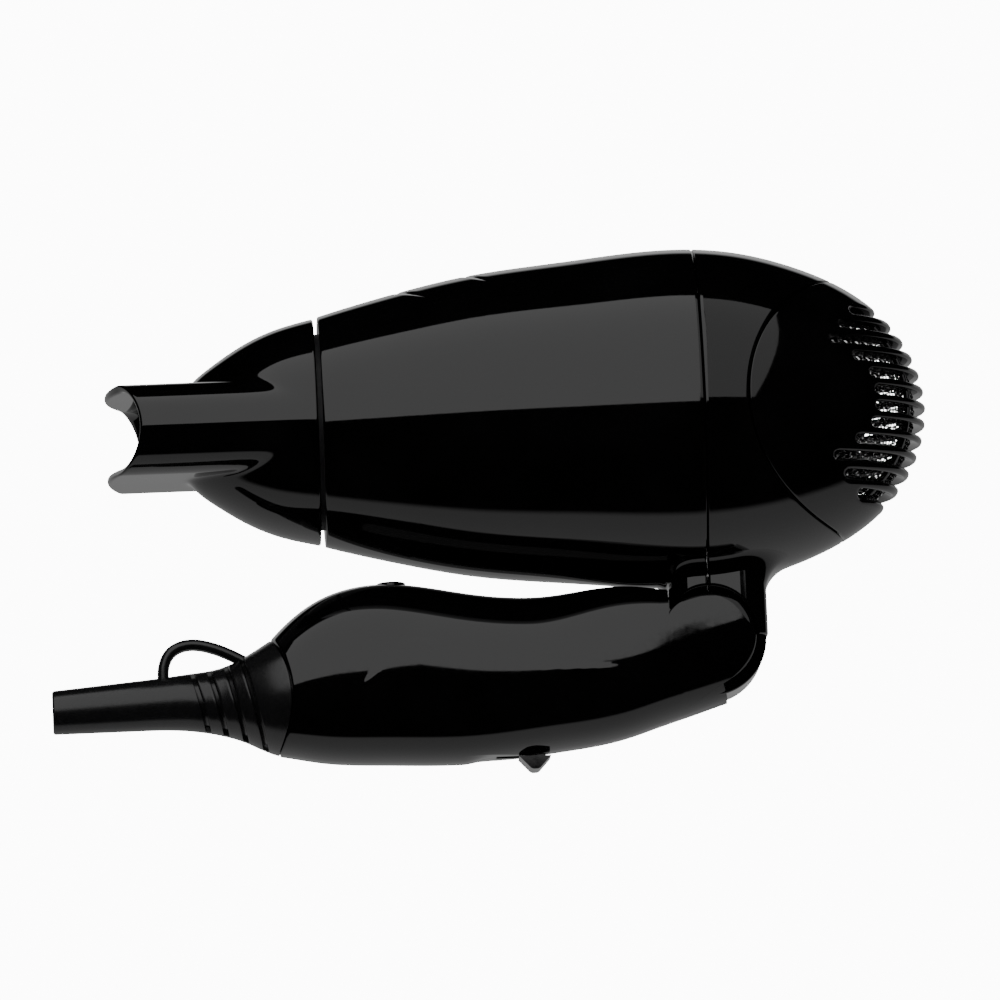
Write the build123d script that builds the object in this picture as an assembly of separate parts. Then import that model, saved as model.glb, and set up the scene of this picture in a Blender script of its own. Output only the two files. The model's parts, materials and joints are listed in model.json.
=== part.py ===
"""Folding travel hair dryer, in millimetres.

+X points to the air intake, -X to the nozzle, +Z up, and Y = 0 is the plane of symmetry. The dryer is
modelled folded, with its handle under the barrel. The origin lies under the middle of its box, at the
lowest point. The left side is -Y, as held in use.
"""

from build123d import *
from math import cos, pi, radians, sin
import os

# ---------------------------------------------------------------- driving dimensions
FAR = 200.0              # past every surface
AXIS_Z = 76.7            # height of the barrel's axis
WALL = 1.8               # housing wall
GAP = 0.4                # clearance between pieces that move past each other
SEAM = 0.15              # half the visible groove between two fixed shells

# outline of the barrel: position along the axis, radius
BARREL = [(-35.9, 25.4), (-20.3, 29.5), (-3.7, 33.0), (19.6, 35.6), (42.0, 37.3), (55.9, 36.2),
          (68.9, 32.6), (81.9, 26.2), (91.4, 17.2), (97.3, 0.0)]
BARREL_FRONT = -35.9
HOUSING_SPLIT = 47.0     # plane between the front and rear housings
OUTLET_R = 23.6          # hole in the front of the front housing
CAP_ARC_X = 86.7         # the intake cap's seam is an arc in side view
CAP_ARC_R = 29.9

# intake fins
FIN_PITCH = 3.75
FIN_SLOT = 2.1
FIN_DEPTH = 2.4
SLOT_FRONTS = [85.3, 84.2, 80.5, 75.4, 77.9, 80.8]   # front ends of the slots, from the axis outwards
RIB_Y = 12.0             # the two ribs that join the fins
RIB_WIDTH = 1.2
SCREEN_PITCH = 4.5
SCREEN_WIRE = 0.5
SCREEN_FRONT = 73.5

# concentrator
DOME = [(-37.4, 25.0), (-45.9, 22.8), (-52.7, 19.8), (-59.5, 15.5), (-64.5, 11.2), (-68.0, 0.0)]
NOZZLE_RIM = -37.4
NOZZLE_WALL = 1.7
DUCT_TIP = -83.3
DUCT_HALF_WIDTH = 25.0
DUCT_HALF_HEIGHT = 10.0
MOUTH_DEPTH = 8.0        # how far the mouth curves back at its sides

# outlet ring, grille and the collar that holds the concentrator
SPIGOT_R = 21.6
SPIGOT_BORE = 20.2
SPIGOT_TIP = -43.0
COLLAR_REAR = -37.8
COLLAR_FRONT = -44.0
COLLAR_BORE = 21.9
COLLAR_R = 22.8
SWIVEL_GAP = 0.3

# hinge
PIVOT_X = 46.95
PIVOT_Z = 26.8
CHEEK_R = 10.3
KNUCKLE_R = 12.7
KNUCKLE_HALF = 8.4
WASHER = 0.4
CHEEK_INNER = 9.1
CHEEK_OUTER = 14.6
HINGE_SLEEVE_R = 4.0
HINGE_SLEEVE_BORE = 2.9
HINGE_SLEEVE_HALF = 12.4
HINGE_FIT = 0.05
FOLD_STOP = -74.5        # angle of the handle's end face, seen from the pivot

# neck
NECK_FRONT = 38.6
NECK_REAR = 60.0
NECK_HALF = 15.0
NECK_CORNER = 6.0
NECK_HEIGHT = 24.0       # from the pivot up into the barrel
SKIRT_BLEND = 3.4        # fillet between the neck and the barrel

# handle: position, bottom, top, half-width
HANDLE = [(-56.0, 6.6, 28.6, 10.6), (-47.0, 5.3, 35.0, 14.0), (-38.0, 3.5, 39.6, 15.7),
          (-24.6, 2.55, 42.3, 16.5), (-6.0, 2.1, 39.0, 16.4), (12.0, 3.8, 37.2, 16.0),
          (28.0, 6.25, 39.1, 15.5), (36.0, 8.7, 37.9, 15.2), (46.0, 11.7, 36.0, 14.8),
          (60.0, 16.0, 32.0, 14.4)]
HANDLE_POWER = 2.4       # exponent of the rounded section
HANDLE_END_X = -68.9     # centre and radius of the curved end that the boot meets
HANDLE_END_Z = 17.3
HANDLE_END_R = 24.1
CAVITY_END = 32.0        # the handle's hollow stops short of the knuckle
BOSS_R = 3.2

# cord boot: position, bottom, top, half-width
BOOT = [(-97.3, 12.05, 21.65, 4.8), (-75.6, 12.1, 23.4, 5.6), (-66.8, 11.6, 24.3, 6.3),
        (-60.0, 10.3, 25.9, 8.2), (-55.0, 8.6, 28.9, 10.8), (-50.0, 6.2, 32.4, 13.2),
        (-43.0, 4.3, 37.5, 15.0)]
BOOT_POWER = 2.1
BOOT_TIP_Z = 16.85       # height of the cord bore at the boot's tip
BOOT_TILT = 1.7          # rise of the bore towards the handle, degrees
CORD_R = 3.4
GROOVES = [-66.5, -62.8, -59.1, -55.4]
GROOVE_WIDTH = 1.3
GROOVE_DEPTH = 1.6
GROOVE_Z = 18.0
GROOVE_LEAN = 8.0        # degrees
SPINE_HALF = 1.6         # half-width of the uncut strip above and below the grooves
STEM_R = 6.4             # the boot's stem and flange, held inside the handle
STEM_END = -36.0
FLANGE_R = 8.6
FLANGE_FRONT = -39.0
LOOP_HALF_WIDTH = 2.2
LOOP_THICKNESS = 2.3
LOOP_BEND = 3.6
LOOP_PATH = [(-74.2, 21.5), (-70.6, 30.3), (-62.4, 30.9), (-53.6, 26.0)]

# switches
KNOB_X = 8.0
KNOB_TRAVEL = 6.0
POCKET_Z = 3.2           # flat floor of the knob's recess
POCKET_HALF = 6.5
POCKET_FRONT = -4.5
POCKET_REAR = 16.0
STEM_HALF = 1.5
SWITCH_FLOOR = 6.6
SWITCH_TOP = 13.0
KNOB_PROFILE = [(-3.5, 2.9), (-2.6, 1.9), (-1.0, 0.2), (-0.5, 0.0),
                (0.5, 0.0), (1.0, 0.2), (2.6, 1.9), (3.5, 2.9)]
KNOB_HALF = 4.6
CONTACTS = 4
CONTACT_PITCH = 4.5
CONTACT_LENGTH = 5.0
BUTTON_X = -22.0
BUTTON_HALF_LENGTH = 3.2
BUTTON_HALF_WIDTH = 4.2
BUTTON_TRAVEL = 1.5
BUTTON_TOP = 42.6
BUTTON_FLANGE_Z = 38.6
FLANGE_STEP = 1.2
MICROSWITCH_TOP = 30.0
MICROSWITCH_HALF = 5.5
MICROSWITCH_HEIGHT = 6.5
TERMINAL_LENGTH = 3.0
SPRING_R = 2.6
SPRING_WIRE = 0.3

# heater, motor and fan
HEATER_FRONT = -22.0
HEATER_REAR = 30.0
MICA = 0.5
MICA_HALF = 15.0
COIL_R = 15.7
WIRE_R = 0.45
SLEEVE_R = 21.5
SLEEVE_WALL = 0.5
MOTOR_R = 12.2
CAN_WALL = 0.6
MOTOR_FRONT = 40.0
MOTOR_REAR = 64.0
MAGNET = 0.9
ARMATURE_R = 10.2
BUSH_R = 3.0
BRUSH_CAP = 3.0
BRUSH_TAB_Y = 7.0
MAGNET_GAP = 3.0         # half the gap between the two magnets
ARMATURE_SLOTS = 5
ARMATURE_SLOT = 1.4
SHAFT_R = 1.0
SHAFT_FIT = 0.04
DUCT_FRONT = 44.0
DUCT_REAR = 72.3
DUCT_R = 27.6
DUCT_BORE = 26.6
HUB_CUP_R = 13.6
MOUNT_PLATE = 1.2
HUB_CUP_FRONT = 52.0
VANES = 6
VANE_X = 58.0
VANE_LENGTH = 9.0
VANE_PITCH = 12.0        # degrees
FAN_R = 26.1
FAN_HUB_R = 9.0
FAN_FRONT = 66.0
FAN_REAR = 72.0
BLADES = 7
BLADE_PITCH = 38.0       # degrees
BLADE_THICKNESS = 1.2
BOARD_X = 33.0
BOARD_R = 10.0
BOARD_THICKNESS = 1.2
DIODE_R = 1.3
LEAD_R = 0.9

# outlet grille
GRILLE_FRONT = -40.5
GRILLE_DEPTH = 1.5
GRILLE_RINGS = [15.6, 12.0, 8.4, 4.8]
GRILLE_WIRE = 1.0
GRILLE_SPOKE = 1.2

# thermostat and fuse on the mica cross
THERMOSTAT_X = 21.5
THERMOSTAT_Y = 6.0
THERMOSTAT_HALF = 3.5
THERMOSTAT_BASE = 2.5
THERMOSTAT_CAN = 1.5
FUSE_X = 8.0
FUSE_Y = -6.0
FUSE_R = 1.5
FUSE_LENGTH = 9.0
FUSE_LEADS = 17.0
FUSE_LEAD_R = 0.4

# cord clamp behind the boot
CLAMP_X = -27.5
CLAMP_HALF_LENGTH = 2.5
CLAMP_HALF_WIDTH = 9.0
CLAMP_LEVELS = [(8.0, 11.0), (15.0, 17.5)]
CLAMP_SCREW_Y = 6.8

# routes of the leads, seen from the side
HEATER_LEAD = [(38.5, 64.2), (41.6, 46.0), (43.2, 37.5), (45.5, 32.2)]
SWITCH_LEAD = [(-3.0, 19.5), (4.0, 22.5), (14.0, 27.0), (29.0, 27.0)]

# fasteners: thread radius, head radius, head height, length
HOUSING_SCREW = (1.3, 2.4, 1.6, 17.0)
HANDLE_SCREW = (1.3, 2.4, 1.6, 20.0)
MOTOR_SCREW = (0.9, 1.7, 0.6, 4.0)
CLAMP_SCREW = (1.1, 2.0, 1.2, 7.0)
HANDLE_SCREWS_AT = [(-31.0, 27.0), (24.0, 17.0)]
HOUSING_SCREW_X = 57.0
HOUSING_SCREW_Y = 9.5
HOUSING_SCREW_Z = 40.2

BARREL_AXIS = Axis((0, 0, AXIS_Z), (1, 0, 0))


# ---------------------------------------------------------------- helpers
def save(shape, name):
    """Write one named piece."""
    export_step(shape, f"parts/{name}.step")


def group(solids):
    """Several separate solids as one piece."""
    return Compound(children=list(solids))


def on_axis(x, r):
    """A point of a barrel outline."""
    return Vector(x, 0, AXIS_Z + r)


def turned(outline):
    """The solid of revolution under an outline, about the barrel's axis."""
    start, end = outline @ 0, outline @ 1
    edges = [outline, Line((end.X, 0, AXIS_Z), (start.X, 0, AXIS_Z))]
    for point in (start, end):
        if point.Z > AXIS_Z + 0.001:
            edges.append(Line((point.X, 0, AXIS_Z), point))
    return revolve(make_face(edges), BARREL_AXIS, 360)


def tube(x0, x1, r_out, r_in=0.0):
    """A plain tube or disc on the barrel's axis."""
    solid = extrude(Plane.YZ.offset(x0) * Pos(0, AXIS_Z) * Circle(r_out), x1 - x0)
    if r_in:
        solid -= extrude(Plane.YZ.offset(x0 - 1) * Pos(0, AXIS_Z) * Circle(r_in), x1 - x0 + 2)
    return solid


def block(x0, x1, y0, y1, z0, z1):
    """A box given by its limits."""
    return Pos((x0 + x1) / 2, (y0 + y1) / 2, (z0 + z1) / 2) * Box(x1 - x0, y1 - y0, z1 - z0)


def cross_pin(x, z, r, y0, y1):
    """A cylinder along Y."""
    return Pos(x, (y0 + y1) / 2, z) * Rot(90, 0, 0) * Cylinder(r, abs(y1 - y0))


def upright(x, y, r, z0, z1):
    """A cylinder along Z."""
    return Pos(x, y, (z0 + z1) / 2) * Cylinder(r, z1 - z0)


def both_sides(solid):
    """A solid and its mirror image in the plane Y = 0."""
    return [solid, mirror(solid, Plane.XZ)]


def side_shape(points, half):
    """A polygon seen from the side, as thick as twice half, about Y = 0."""
    face = make_face(Polyline(*[(x, 0, z) for x, z in points], close=True))
    return extrude(face, half, both=True)


def rounded_section(x, low, high, half, power, inset):
    """A rounded section across X, from its lowest and highest points and half-width."""
    middle = (low + high) / 2
    rise = (high - low) / 2 - inset
    points = []
    for step in range(16):
        c = cos(2 * pi * step / 16)
        s = sin(2 * pi * step / 16)
        y = (half - inset) * abs(c) ** (2 / power) * (1 if c >= 0 else -1)
        z = rise * abs(s) ** (2 / power) * (1 if s >= 0 else -1)
        points.append((x, y, middle + z))
    return make_face(Spline(*points, periodic=True))


def long_body(stations, power, inset=0.0):
    """A smooth body through rounded sections."""
    return loft([rounded_section(*station, power, inset) for station in stations])


def lead(points, bend):
    """An insulated lead along straight runs and arcs."""
    path = FilletPolyline(*points, radius=bend)
    return sweep((path ^ 0) * Circle(LEAD_R), path)


def coil(x0, length, pitch, radius, wire, direction):
    """A wire wound in a helix."""
    path = Helix(pitch=pitch, height=length, radius=radius, center=x0, direction=direction)
    return sweep((path ^ 0) * Circle(wire), path, is_frenet=True)


def screw(size):
    """A cross-head screw along +Z, with its head under the origin."""
    r, head_r, head, length = size
    solid = Pos(0, 0, length / 2) * Cylinder(r, length)
    solid += Pos(0, 0, -head / 2) * Cylinder(head_r, head)
    for turn in (0, 90):
        solid -= Pos(0, 0, -head) * Rot(0, 0, turn) * Box(head_r * 1.1, head_r * 0.25, head)
    return solid


def screw_hole(size, depth):
    """The hole of a screw, with a counterbore of the given depth under the origin."""
    r, head_r, head, length = size
    hole = Pos(0, 0, length / 2 + 0.25) * Cylinder(r, length + 0.5)
    return hole + Pos(0, 0, -depth / 2) * Cylinder(head_r + 0.2, depth)


# ---------------------------------------------------------------- barrel and neck
def barrel_outline(inset=0.0):
    """The barrel's outline, or a line at an even distance inside it."""
    outline = Spline(*[on_axis(x, r) for x, r in BARREL], tangents=[(1, 0, 0.29), (0, 0, -1)])
    if not inset:
        return outline
    points = []
    for step in range(15):
        point = outline @ (step / 14)
        along = outline % (step / 14)
        points.append(point + Vector(along.Z, 0, -along.X) * inset)
    return Spline(*points, tangents=[(1, 0, 0.29), (0, 0, -1)])


def barrel_solid(inset=0.0):
    return turned(barrel_outline(inset))


def cap_zone(grow):
    """The space of the intake cap: everything inside its seam arc, seen from the side."""
    return cross_pin(CAP_ARC_X, AXIS_Z, CAP_ARC_R + grow, -FAR, FAR)


def neck_column():
    """The neck, from the hinge's height up into the barrel."""
    plan = Pos((NECK_FRONT + NECK_REAR) / 2, 0, PIVOT_Z) * RectangleRounded(
        NECK_REAR - NECK_FRONT, 2 * NECK_HALF, NECK_CORNER)
    return extrude(plan, NECK_HEIGHT)


def housing_body():
    """Barrel shell with its neck, before it is split."""
    cheek_room = cross_pin(PIVOT_X, PIVOT_Z, CHEEK_R + GAP, -FAR, FAR)
    shell = barrel_solid() + (neck_column() - cheek_room)
    joint = [edge for edge in shell.edges().filter_by(GeomType.BSPLINE) if on_neck(edge)]
    shell = fillet(joint, SKIRT_BLEND)
    middle = (neck_column() & cheek_room) + cross_pin(PIVOT_X, PIVOT_Z, KNUCKLE_R, -FAR, FAR)
    shell += middle & block(-FAR, FAR, -KNUCKLE_HALF, KNUCKLE_HALF, -FAR, PIVOT_Z + 12)
    shell -= barrel_solid(WALL)
    shell -= tube(BARREL_FRONT - 1, BARREL_FRONT + 4, OUTLET_R)
    shell -= cross_pin(PIVOT_X, PIVOT_Z, HINGE_SLEEVE_R, -FAR, FAR)
    shell -= block(PIVOT_X - 6, PIVOT_X + 4, -3, 3, PIVOT_Z + 3, AXIS_Z - 30)
    return shell


def on_neck(edge):
    """Whether an edge is where the neck meets the barrel."""
    middle = edge @ 0.5
    near = NECK_FRONT - 2 < middle.X < NECK_REAR + 2 and abs(middle.Y) <= NECK_HALF + 1
    return near and middle.Z > PIVOT_Z + KNUCKLE_R - 1


def housing_screw_places():
    sides = (-HOUSING_SCREW_Y, HOUSING_SCREW_Y)
    return [Pos(HOUSING_SCREW_X, y, HOUSING_SCREW_Z) * Rot(0, -90, 0) for y in sides]


def make_housings():
    body = housing_body()
    for place in housing_screw_places():
        body -= place * screw_hole(HOUSING_SCREW, 8)
    front = body & block(-FAR, HOUSING_SPLIT - SEAM, -FAR, FAR, -FAR, FAR)
    rear = body & block(HOUSING_SPLIT + SEAM, FAR, -FAR, FAR, -FAR, FAR)
    rear -= cap_zone(SEAM)
    save(front, "front_housing")
    save(rear, "rear_housing")
    save(group(place * screw(HOUSING_SCREW) for place in housing_screw_places()), "housing_screws")


# ---------------------------------------------------------------- intake
def make_intake_cap():
    thin = barrel_solid(WALL) & block(-FAR, SLOT_FRONTS[3] - 3, -FAR, FAR, -FAR, FAR)
    cap = (barrel_solid() & cap_zone(-SEAM)) - barrel_solid(FIN_DEPTH) - thin
    for level, front in enumerate(SLOT_FRONTS):
        z = (level + 0.5) * FIN_PITCH
        slot = block(front + FIN_SLOT / 2, FAR, -FAR, FAR, z - FIN_SLOT / 2, z + FIN_SLOT / 2)
        slot += cross_pin(front + FIN_SLOT / 2, z, FIN_SLOT / 2, -FAR, FAR)
        cap -= Pos(0, 0, AXIS_Z) * slot
        cap -= Pos(0, 0, AXIS_Z) * mirror(slot, Plane.XY)
    rib_layer = barrel_solid(FIN_DEPTH / 2) - barrel_solid(FIN_DEPTH)
    for y in (-RIB_Y, RIB_Y):
        cap += rib_layer & block(SLOT_FRONTS[4], FAR, y - RIB_WIDTH / 2, y + RIB_WIDTH / 2, -FAR, FAR)
    save(cap, "intake_cap")


def make_lint_screen():
    shell = barrel_solid(FIN_DEPTH + 0.15) - barrel_solid(FIN_DEPTH + 0.15 + SCREEN_WIRE)
    grid = []
    for step in range(-5, 6):
        low = step * SCREEN_PITCH - SCREEN_WIRE / 2
        high = low + SCREEN_WIRE
        grid.append(block(SCREEN_FRONT, FAR, low, high, 0, FAR))
        grid.append(block(SCREEN_FRONT, FAR, -FAR, FAR, AXIS_Z + low, AXIS_Z + high))
    rim = shell & block(SCREEN_FRONT, SCREEN_FRONT + 2, -FAR, FAR, 0, FAR)
    screen = shell & (grid[0].fuse(*grid[1:]))
    save(screen - rim, "lint_screen")
    save(rim, "screen_ring")


# ---------------------------------------------------------------- outlet and concentrator
def duct(inset, x0, x1):
    """The concentrator's flat round-ended duct along X."""
    flat = SlotOverall(2 * (DUCT_HALF_WIDTH - inset), 2 * (DUCT_HALF_HEIGHT - inset))
    return extrude(Plane.YZ.offset(x0) * Pos(0, AXIS_Z) * flat, x1 - x0)


def nozzle_dome(inset):
    return turned(Spline(*[on_axis(x + inset, max(r - inset, 0)) for x, r in DOME]))


def make_concentrator():
    nozzle = (nozzle_dome(0) + duct(0, DUCT_TIP, NOZZLE_RIM)) & tube(-FAR, NOZZLE_RIM, DUCT_HALF_WIDTH)
    nozzle -= nozzle_dome(NOZZLE_WALL) & tube(-FAR, COLLAR_FRONT - SWIVEL_GAP, COLLAR_R - 1)
    nozzle -= tube(COLLAR_FRONT - SWIVEL_GAP, 0, COLLAR_R + SWIVEL_GAP)
    nozzle -= duct(NOZZLE_WALL, -FAR, -55)
    mouth_r = (DUCT_HALF_WIDTH ** 2 + MOUTH_DEPTH ** 2) / (2 * MOUTH_DEPTH)
    nozzle &= upright(DUCT_TIP + mouth_r, 0, mouth_r, 0, FAR)
    save(nozzle, "concentrator")
    save(tube(COLLAR_FRONT, COLLAR_REAR, COLLAR_R, COLLAR_BORE), "nozzle_collar")


def make_outlet():
    ring = tube(SPIGOT_TIP, HEATER_FRONT - 4, SPIGOT_R, SPIGOT_BORE)
    save(ring + tube(-35.0, -33.0, OUTLET_R, SPIGOT_BORE), "outlet_ring")
    rear = GRILLE_FRONT + GRILLE_DEPTH
    grille = tube(GRILLE_FRONT, rear, SPIGOT_BORE - 0.05, SPIGOT_BORE - GRILLE_SPOKE)
    for r in GRILLE_RINGS:
        grille += tube(GRILLE_FRONT, rear, r + GRILLE_WIRE / 2, r - GRILLE_WIRE / 2)
    spoke = Box(GRILLE_DEPTH, 2 * SPIGOT_BORE - 1, GRILLE_SPOKE)
    for turn in range(0, 180, 45):
        grille += Pos(GRILLE_FRONT + GRILLE_DEPTH / 2, 0, AXIS_Z) * Rot(turn, 0, 0) * spoke
    save(grille, "outlet_grille")


# ---------------------------------------------------------------- heater
def make_heater():
    length = HEATER_REAR - HEATER_FRONT
    middle = (HEATER_REAR + HEATER_FRONT) / 2
    cross = Pos(middle, 0, AXIS_Z) * Box(length, 2 * MICA_HALF, MICA)
    cross += Pos(middle, 0, AXIS_Z) * Box(length, MICA, 2 * MICA_HALF)
    save(cross, "mica_cross")
    save(coil((HEATER_FRONT + 3, 0, AXIS_Z), 28, 4.0, COIL_R, WIRE_R, (1, 0, 0)), "main_heating_coil")
    save(coil((HEATER_FRONT + 36, 0, AXIS_Z), 12, 4.0, COIL_R, WIRE_R, (1, 0, 0)), "low_heating_coil")
    save(tube(HEATER_FRONT - 4, HEATER_REAR + 2, SLEEVE_R, SLEEVE_R - SLEEVE_WALL), "mica_sleeve")
    stand = AXIS_Z + MICA / 2
    reach = THERMOSTAT_HALF + 0.5
    base = block(THERMOSTAT_X - THERMOSTAT_HALF, THERMOSTAT_X + THERMOSTAT_HALF,
                 THERMOSTAT_Y - reach, THERMOSTAT_Y + reach, stand, stand + THERMOSTAT_BASE)
    top = stand + THERMOSTAT_BASE + THERMOSTAT_CAN
    base += upright(THERMOSTAT_X, THERMOSTAT_Y, THERMOSTAT_HALF - 0.5, stand + THERMOSTAT_BASE, top)
    save(base, "thermostat")
    fuse = Cylinder(FUSE_R, FUSE_LENGTH) + Cylinder(FUSE_LEAD_R, FUSE_LEADS)
    fuse = Pos(FUSE_X, FUSE_Y, stand + FUSE_R) * Rot(0, 90, 0) * fuse
    save(fuse, "thermal_fuse")


# ---------------------------------------------------------------- motor and fan
def motor_screw_places():
    return [Pos(MOTOR_REAR + MOUNT_PLATE, y, AXIS_Z) * Rot(0, -90, 0) for y in (-7.5, 7.5)]


def make_motor():
    can = tube(MOTOR_FRONT, MOTOR_REAR, MOTOR_R, MOTOR_R - CAN_WALL)
    can += tube(MOTOR_REAR - 1, MOTOR_REAR, MOTOR_R, BUSH_R)
    for place in motor_screw_places():
        can -= place * screw_hole(MOTOR_SCREW, 0.1)
    save(can, "motor_can")
    save(group(place * screw(MOTOR_SCREW) for place in motor_screw_places()), "motor_screws")
    cap_front = MOTOR_FRONT - BRUSH_CAP
    brush = tube(cap_front, MOTOR_FRONT, MOTOR_R, BUSH_R)
    for y in (-BRUSH_TAB_Y, BRUSH_TAB_Y):
        brush += block(cap_front - 2, cap_front, y - 1.5, y + 1.5, AXIS_Z - 0.4, AXIS_Z + 0.4)
    save(brush, "brush_cap")
    bore = SHAFT_R + SHAFT_FIT
    front_bush = tube(cap_front, MOTOR_FRONT, BUSH_R, bore)
    rear_bush = tube(MOTOR_REAR - 1, MOTOR_REAR + 1.6, BUSH_R, bore)
    save(group([front_bush, rear_bush]), "motor_bushes")
    inner = MOTOR_R - CAN_WALL
    ring = tube(MOTOR_FRONT + 3, MOTOR_REAR - 4, inner, inner - MAGNET)
    upper = ring & block(0, FAR, -FAR, FAR, AXIS_Z + MAGNET_GAP, FAR)
    lower = ring & block(0, FAR, -FAR, FAR, 0, AXIS_Z - MAGNET_GAP)
    save(group([upper, lower]), "motor_magnets")
    armature = tube(MOTOR_FRONT + 4, MOTOR_REAR - 5, ARMATURE_R, SHAFT_R)
    slot = Pos(0, 0, ARMATURE_R) * Box(FAR, ARMATURE_SLOT, ARMATURE_R * 0.6)
    for step in range(ARMATURE_SLOTS):
        armature -= Pos(0, 0, AXIS_Z) * Rot(360 * step / ARMATURE_SLOTS, 0, 0) * slot
    save(armature, "armature")
    save(tube(MOTOR_FRONT - 4, FAN_REAR, SHAFT_R), "motor_shaft")


def make_motor_mount():
    mount = tube(DUCT_FRONT, DUCT_REAR, DUCT_R, DUCT_BORE)
    mount += barrel_solid(WALL + SEAM) & tube(DUCT_FRONT, DUCT_FRONT + WALL, FAR, DUCT_BORE)
    mount += tube(HUB_CUP_FRONT, MOTOR_REAR, HUB_CUP_R, MOTOR_R)
    mount += tube(MOTOR_REAR, MOTOR_REAR + MOUNT_PLATE, HUB_CUP_R, BUSH_R)
    vane = Box(VANE_LENGTH, MOUNT_PLATE, DUCT_BORE - HUB_CUP_R + 0.8)
    vane = Pos(0, 0, (HUB_CUP_R + DUCT_BORE) / 2) * Rot(0, 0, VANE_PITCH) * vane
    for step in range(VANES):
        mount += Pos(VANE_X, 0, AXIS_Z) * Rot(360 * step / VANES, 0, 0) * vane
    for place in motor_screw_places():
        mount -= place * screw_hole(MOTOR_SCREW, 0.1)
    save(mount, "motor_mount")


def make_fan():
    fan = tube(FAN_FRONT, FAN_REAR, FAN_HUB_R, SHAFT_R)
    fan -= tube(FAN_FRONT - 1, FAN_REAR - 2, FAN_HUB_R - 1.5, SHAFT_R + 2)
    reach = tube(FAN_FRONT, FAN_REAR, FAN_R, FAN_HUB_R - 0.8)
    blade = Rot(0, 0, BLADE_PITCH) * Box(14, BLADE_THICKNESS, FAN_R - FAN_HUB_R + 6)
    blade = Pos(0, 0, (FAN_R + FAN_HUB_R) / 2) * blade
    for step in range(BLADES):
        place = Pos((FAN_FRONT + FAN_REAR) / 2, 0, AXIS_Z) * Rot(360 * step / BLADES, 0, 0)
        fan += (place * blade) & reach
    save(fan, "fan_impeller")


def make_diode_board():
    save(tube(BOARD_X, BOARD_X + BOARD_THICKNESS, BOARD_R), "diode_board")
    diodes = []
    for y in (-3.5, 3.5):
        for z in (-4, 4):
            diodes.append(Pos(BOARD_X - DIODE_R, y, AXIS_Z + z) * Rot(90, 0, 0) * Cylinder(DIODE_R, 4))
    save(group(diodes), "diodes")


def make_heater_leads():
    leads = [lead([(x, y, z) for x, z in HEATER_LEAD], 4) for y in (-1.6, 1.6)]
    save(group(leads), "heater_leads")


# ---------------------------------------------------------------- hinge
def make_hinge():
    sleeve = cross_pin(PIVOT_X, PIVOT_Z, HINGE_SLEEVE_R, -HINGE_SLEEVE_HALF, HINGE_SLEEVE_HALF)
    save(sleeve - cross_pin(PIVOT_X, PIVOT_Z, HINGE_SLEEVE_BORE, -FAR, FAR), "hinge_sleeve")
    washer = cross_pin(PIVOT_X, PIVOT_Z, CHEEK_R - 2, KNUCKLE_HALF, KNUCKLE_HALF + WASHER)
    washer -= cross_pin(PIVOT_X, PIVOT_Z, HINGE_SLEEVE_R, 0, FAR)
    save(group(both_sides(washer)), "hinge_washers")


# ---------------------------------------------------------------- handle
def end_arc(grow):
    """The round space behind the handle's curved end, which the boot fills."""
    room = cross_pin(HANDLE_END_X, HANDLE_END_Z, HANDLE_END_R + grow, -FAR, FAR)
    return room + block(-FAR, HANDLE_END_X, -FAR, FAR, -FAR, FAR)


def handle_body():
    """Handle with its two cheeks, closed, before it is hollowed and split."""
    body = long_body(HANDLE, HANDLE_POWER) - end_arc(SEAM)
    away = NECK_FRONT - GAP
    stop_x = PIVOT_X + FAR * cos(radians(FOLD_STOP))
    stop_z = PIVOT_Z + FAR * sin(radians(FOLD_STOP))
    sector = [(PIVOT_X, PIVOT_Z), (stop_x, stop_z), (2 * FAR, stop_z),
              (2 * FAR, FAR), (away, FAR), (away, PIVOT_Z)]
    body -= side_shape(sector, FAR)
    cheek = cross_pin(PIVOT_X, PIVOT_Z, CHEEK_R, CHEEK_INNER, CHEEK_OUTER)
    cheek = fillet(cheek.edges().group_by(Axis.Y)[-1], 1.6)
    for side in both_sides(cheek):
        body += side
    body -= cross_pin(PIVOT_X, PIVOT_Z, KNUCKLE_R + GAP, -CHEEK_INNER, CHEEK_INNER)
    sleeve_room = HINGE_SLEEVE_HALF + 0.3
    body -= cross_pin(PIVOT_X, PIVOT_Z, HINGE_SLEEVE_R + HINGE_FIT, -sleeve_room, sleeve_room)
    return body


def handle_cavity():
    """The hollow that holds the switches and leads."""
    cavity = long_body(HANDLE, HANDLE_POWER, WALL) & block(-FAR, CAVITY_END, -FAR, FAR, -FAR, FAR)
    cavity -= block(-43.0, -41.0, -FAR, FAR, -FAR, FAR)
    floor = block(POCKET_FRONT - 2, POCKET_REAR + 2, -POCKET_HALF - 2, POCKET_HALF + 2, 0, SWITCH_FLOOR)
    cavity -= floor
    for x, z in HANDLE_SCREWS_AT:
        cavity -= cross_pin(x, z, BOSS_R, -FAR, FAR)
    return cavity


def knob_pocket():
    """The flat-floored recess that the knob slides in, and the slot through its floor."""
    length = POCKET_REAR - POCKET_FRONT
    plan = RectangleRounded(length, 2 * POCKET_HALF, POCKET_HALF - 1)
    pocket = extrude(Pos((POCKET_FRONT + POCKET_REAR) / 2, 0, 0) * plan, POCKET_Z)
    slot_half = STEM_HALF + GAP
    slot_front = KNOB_X - KNOB_TRAVEL - 2 - GAP
    return pocket + block(slot_front, KNOB_X + 2 + GAP, -slot_half, slot_half, 0, SWITCH_FLOOR + 0.1)


def oval(x, half_length, half_width, z0, z1):
    """An upright oval post."""
    return extrude(Pos(x, 0, z0) * Ellipse(half_length, half_width), z1 - z0)


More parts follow.
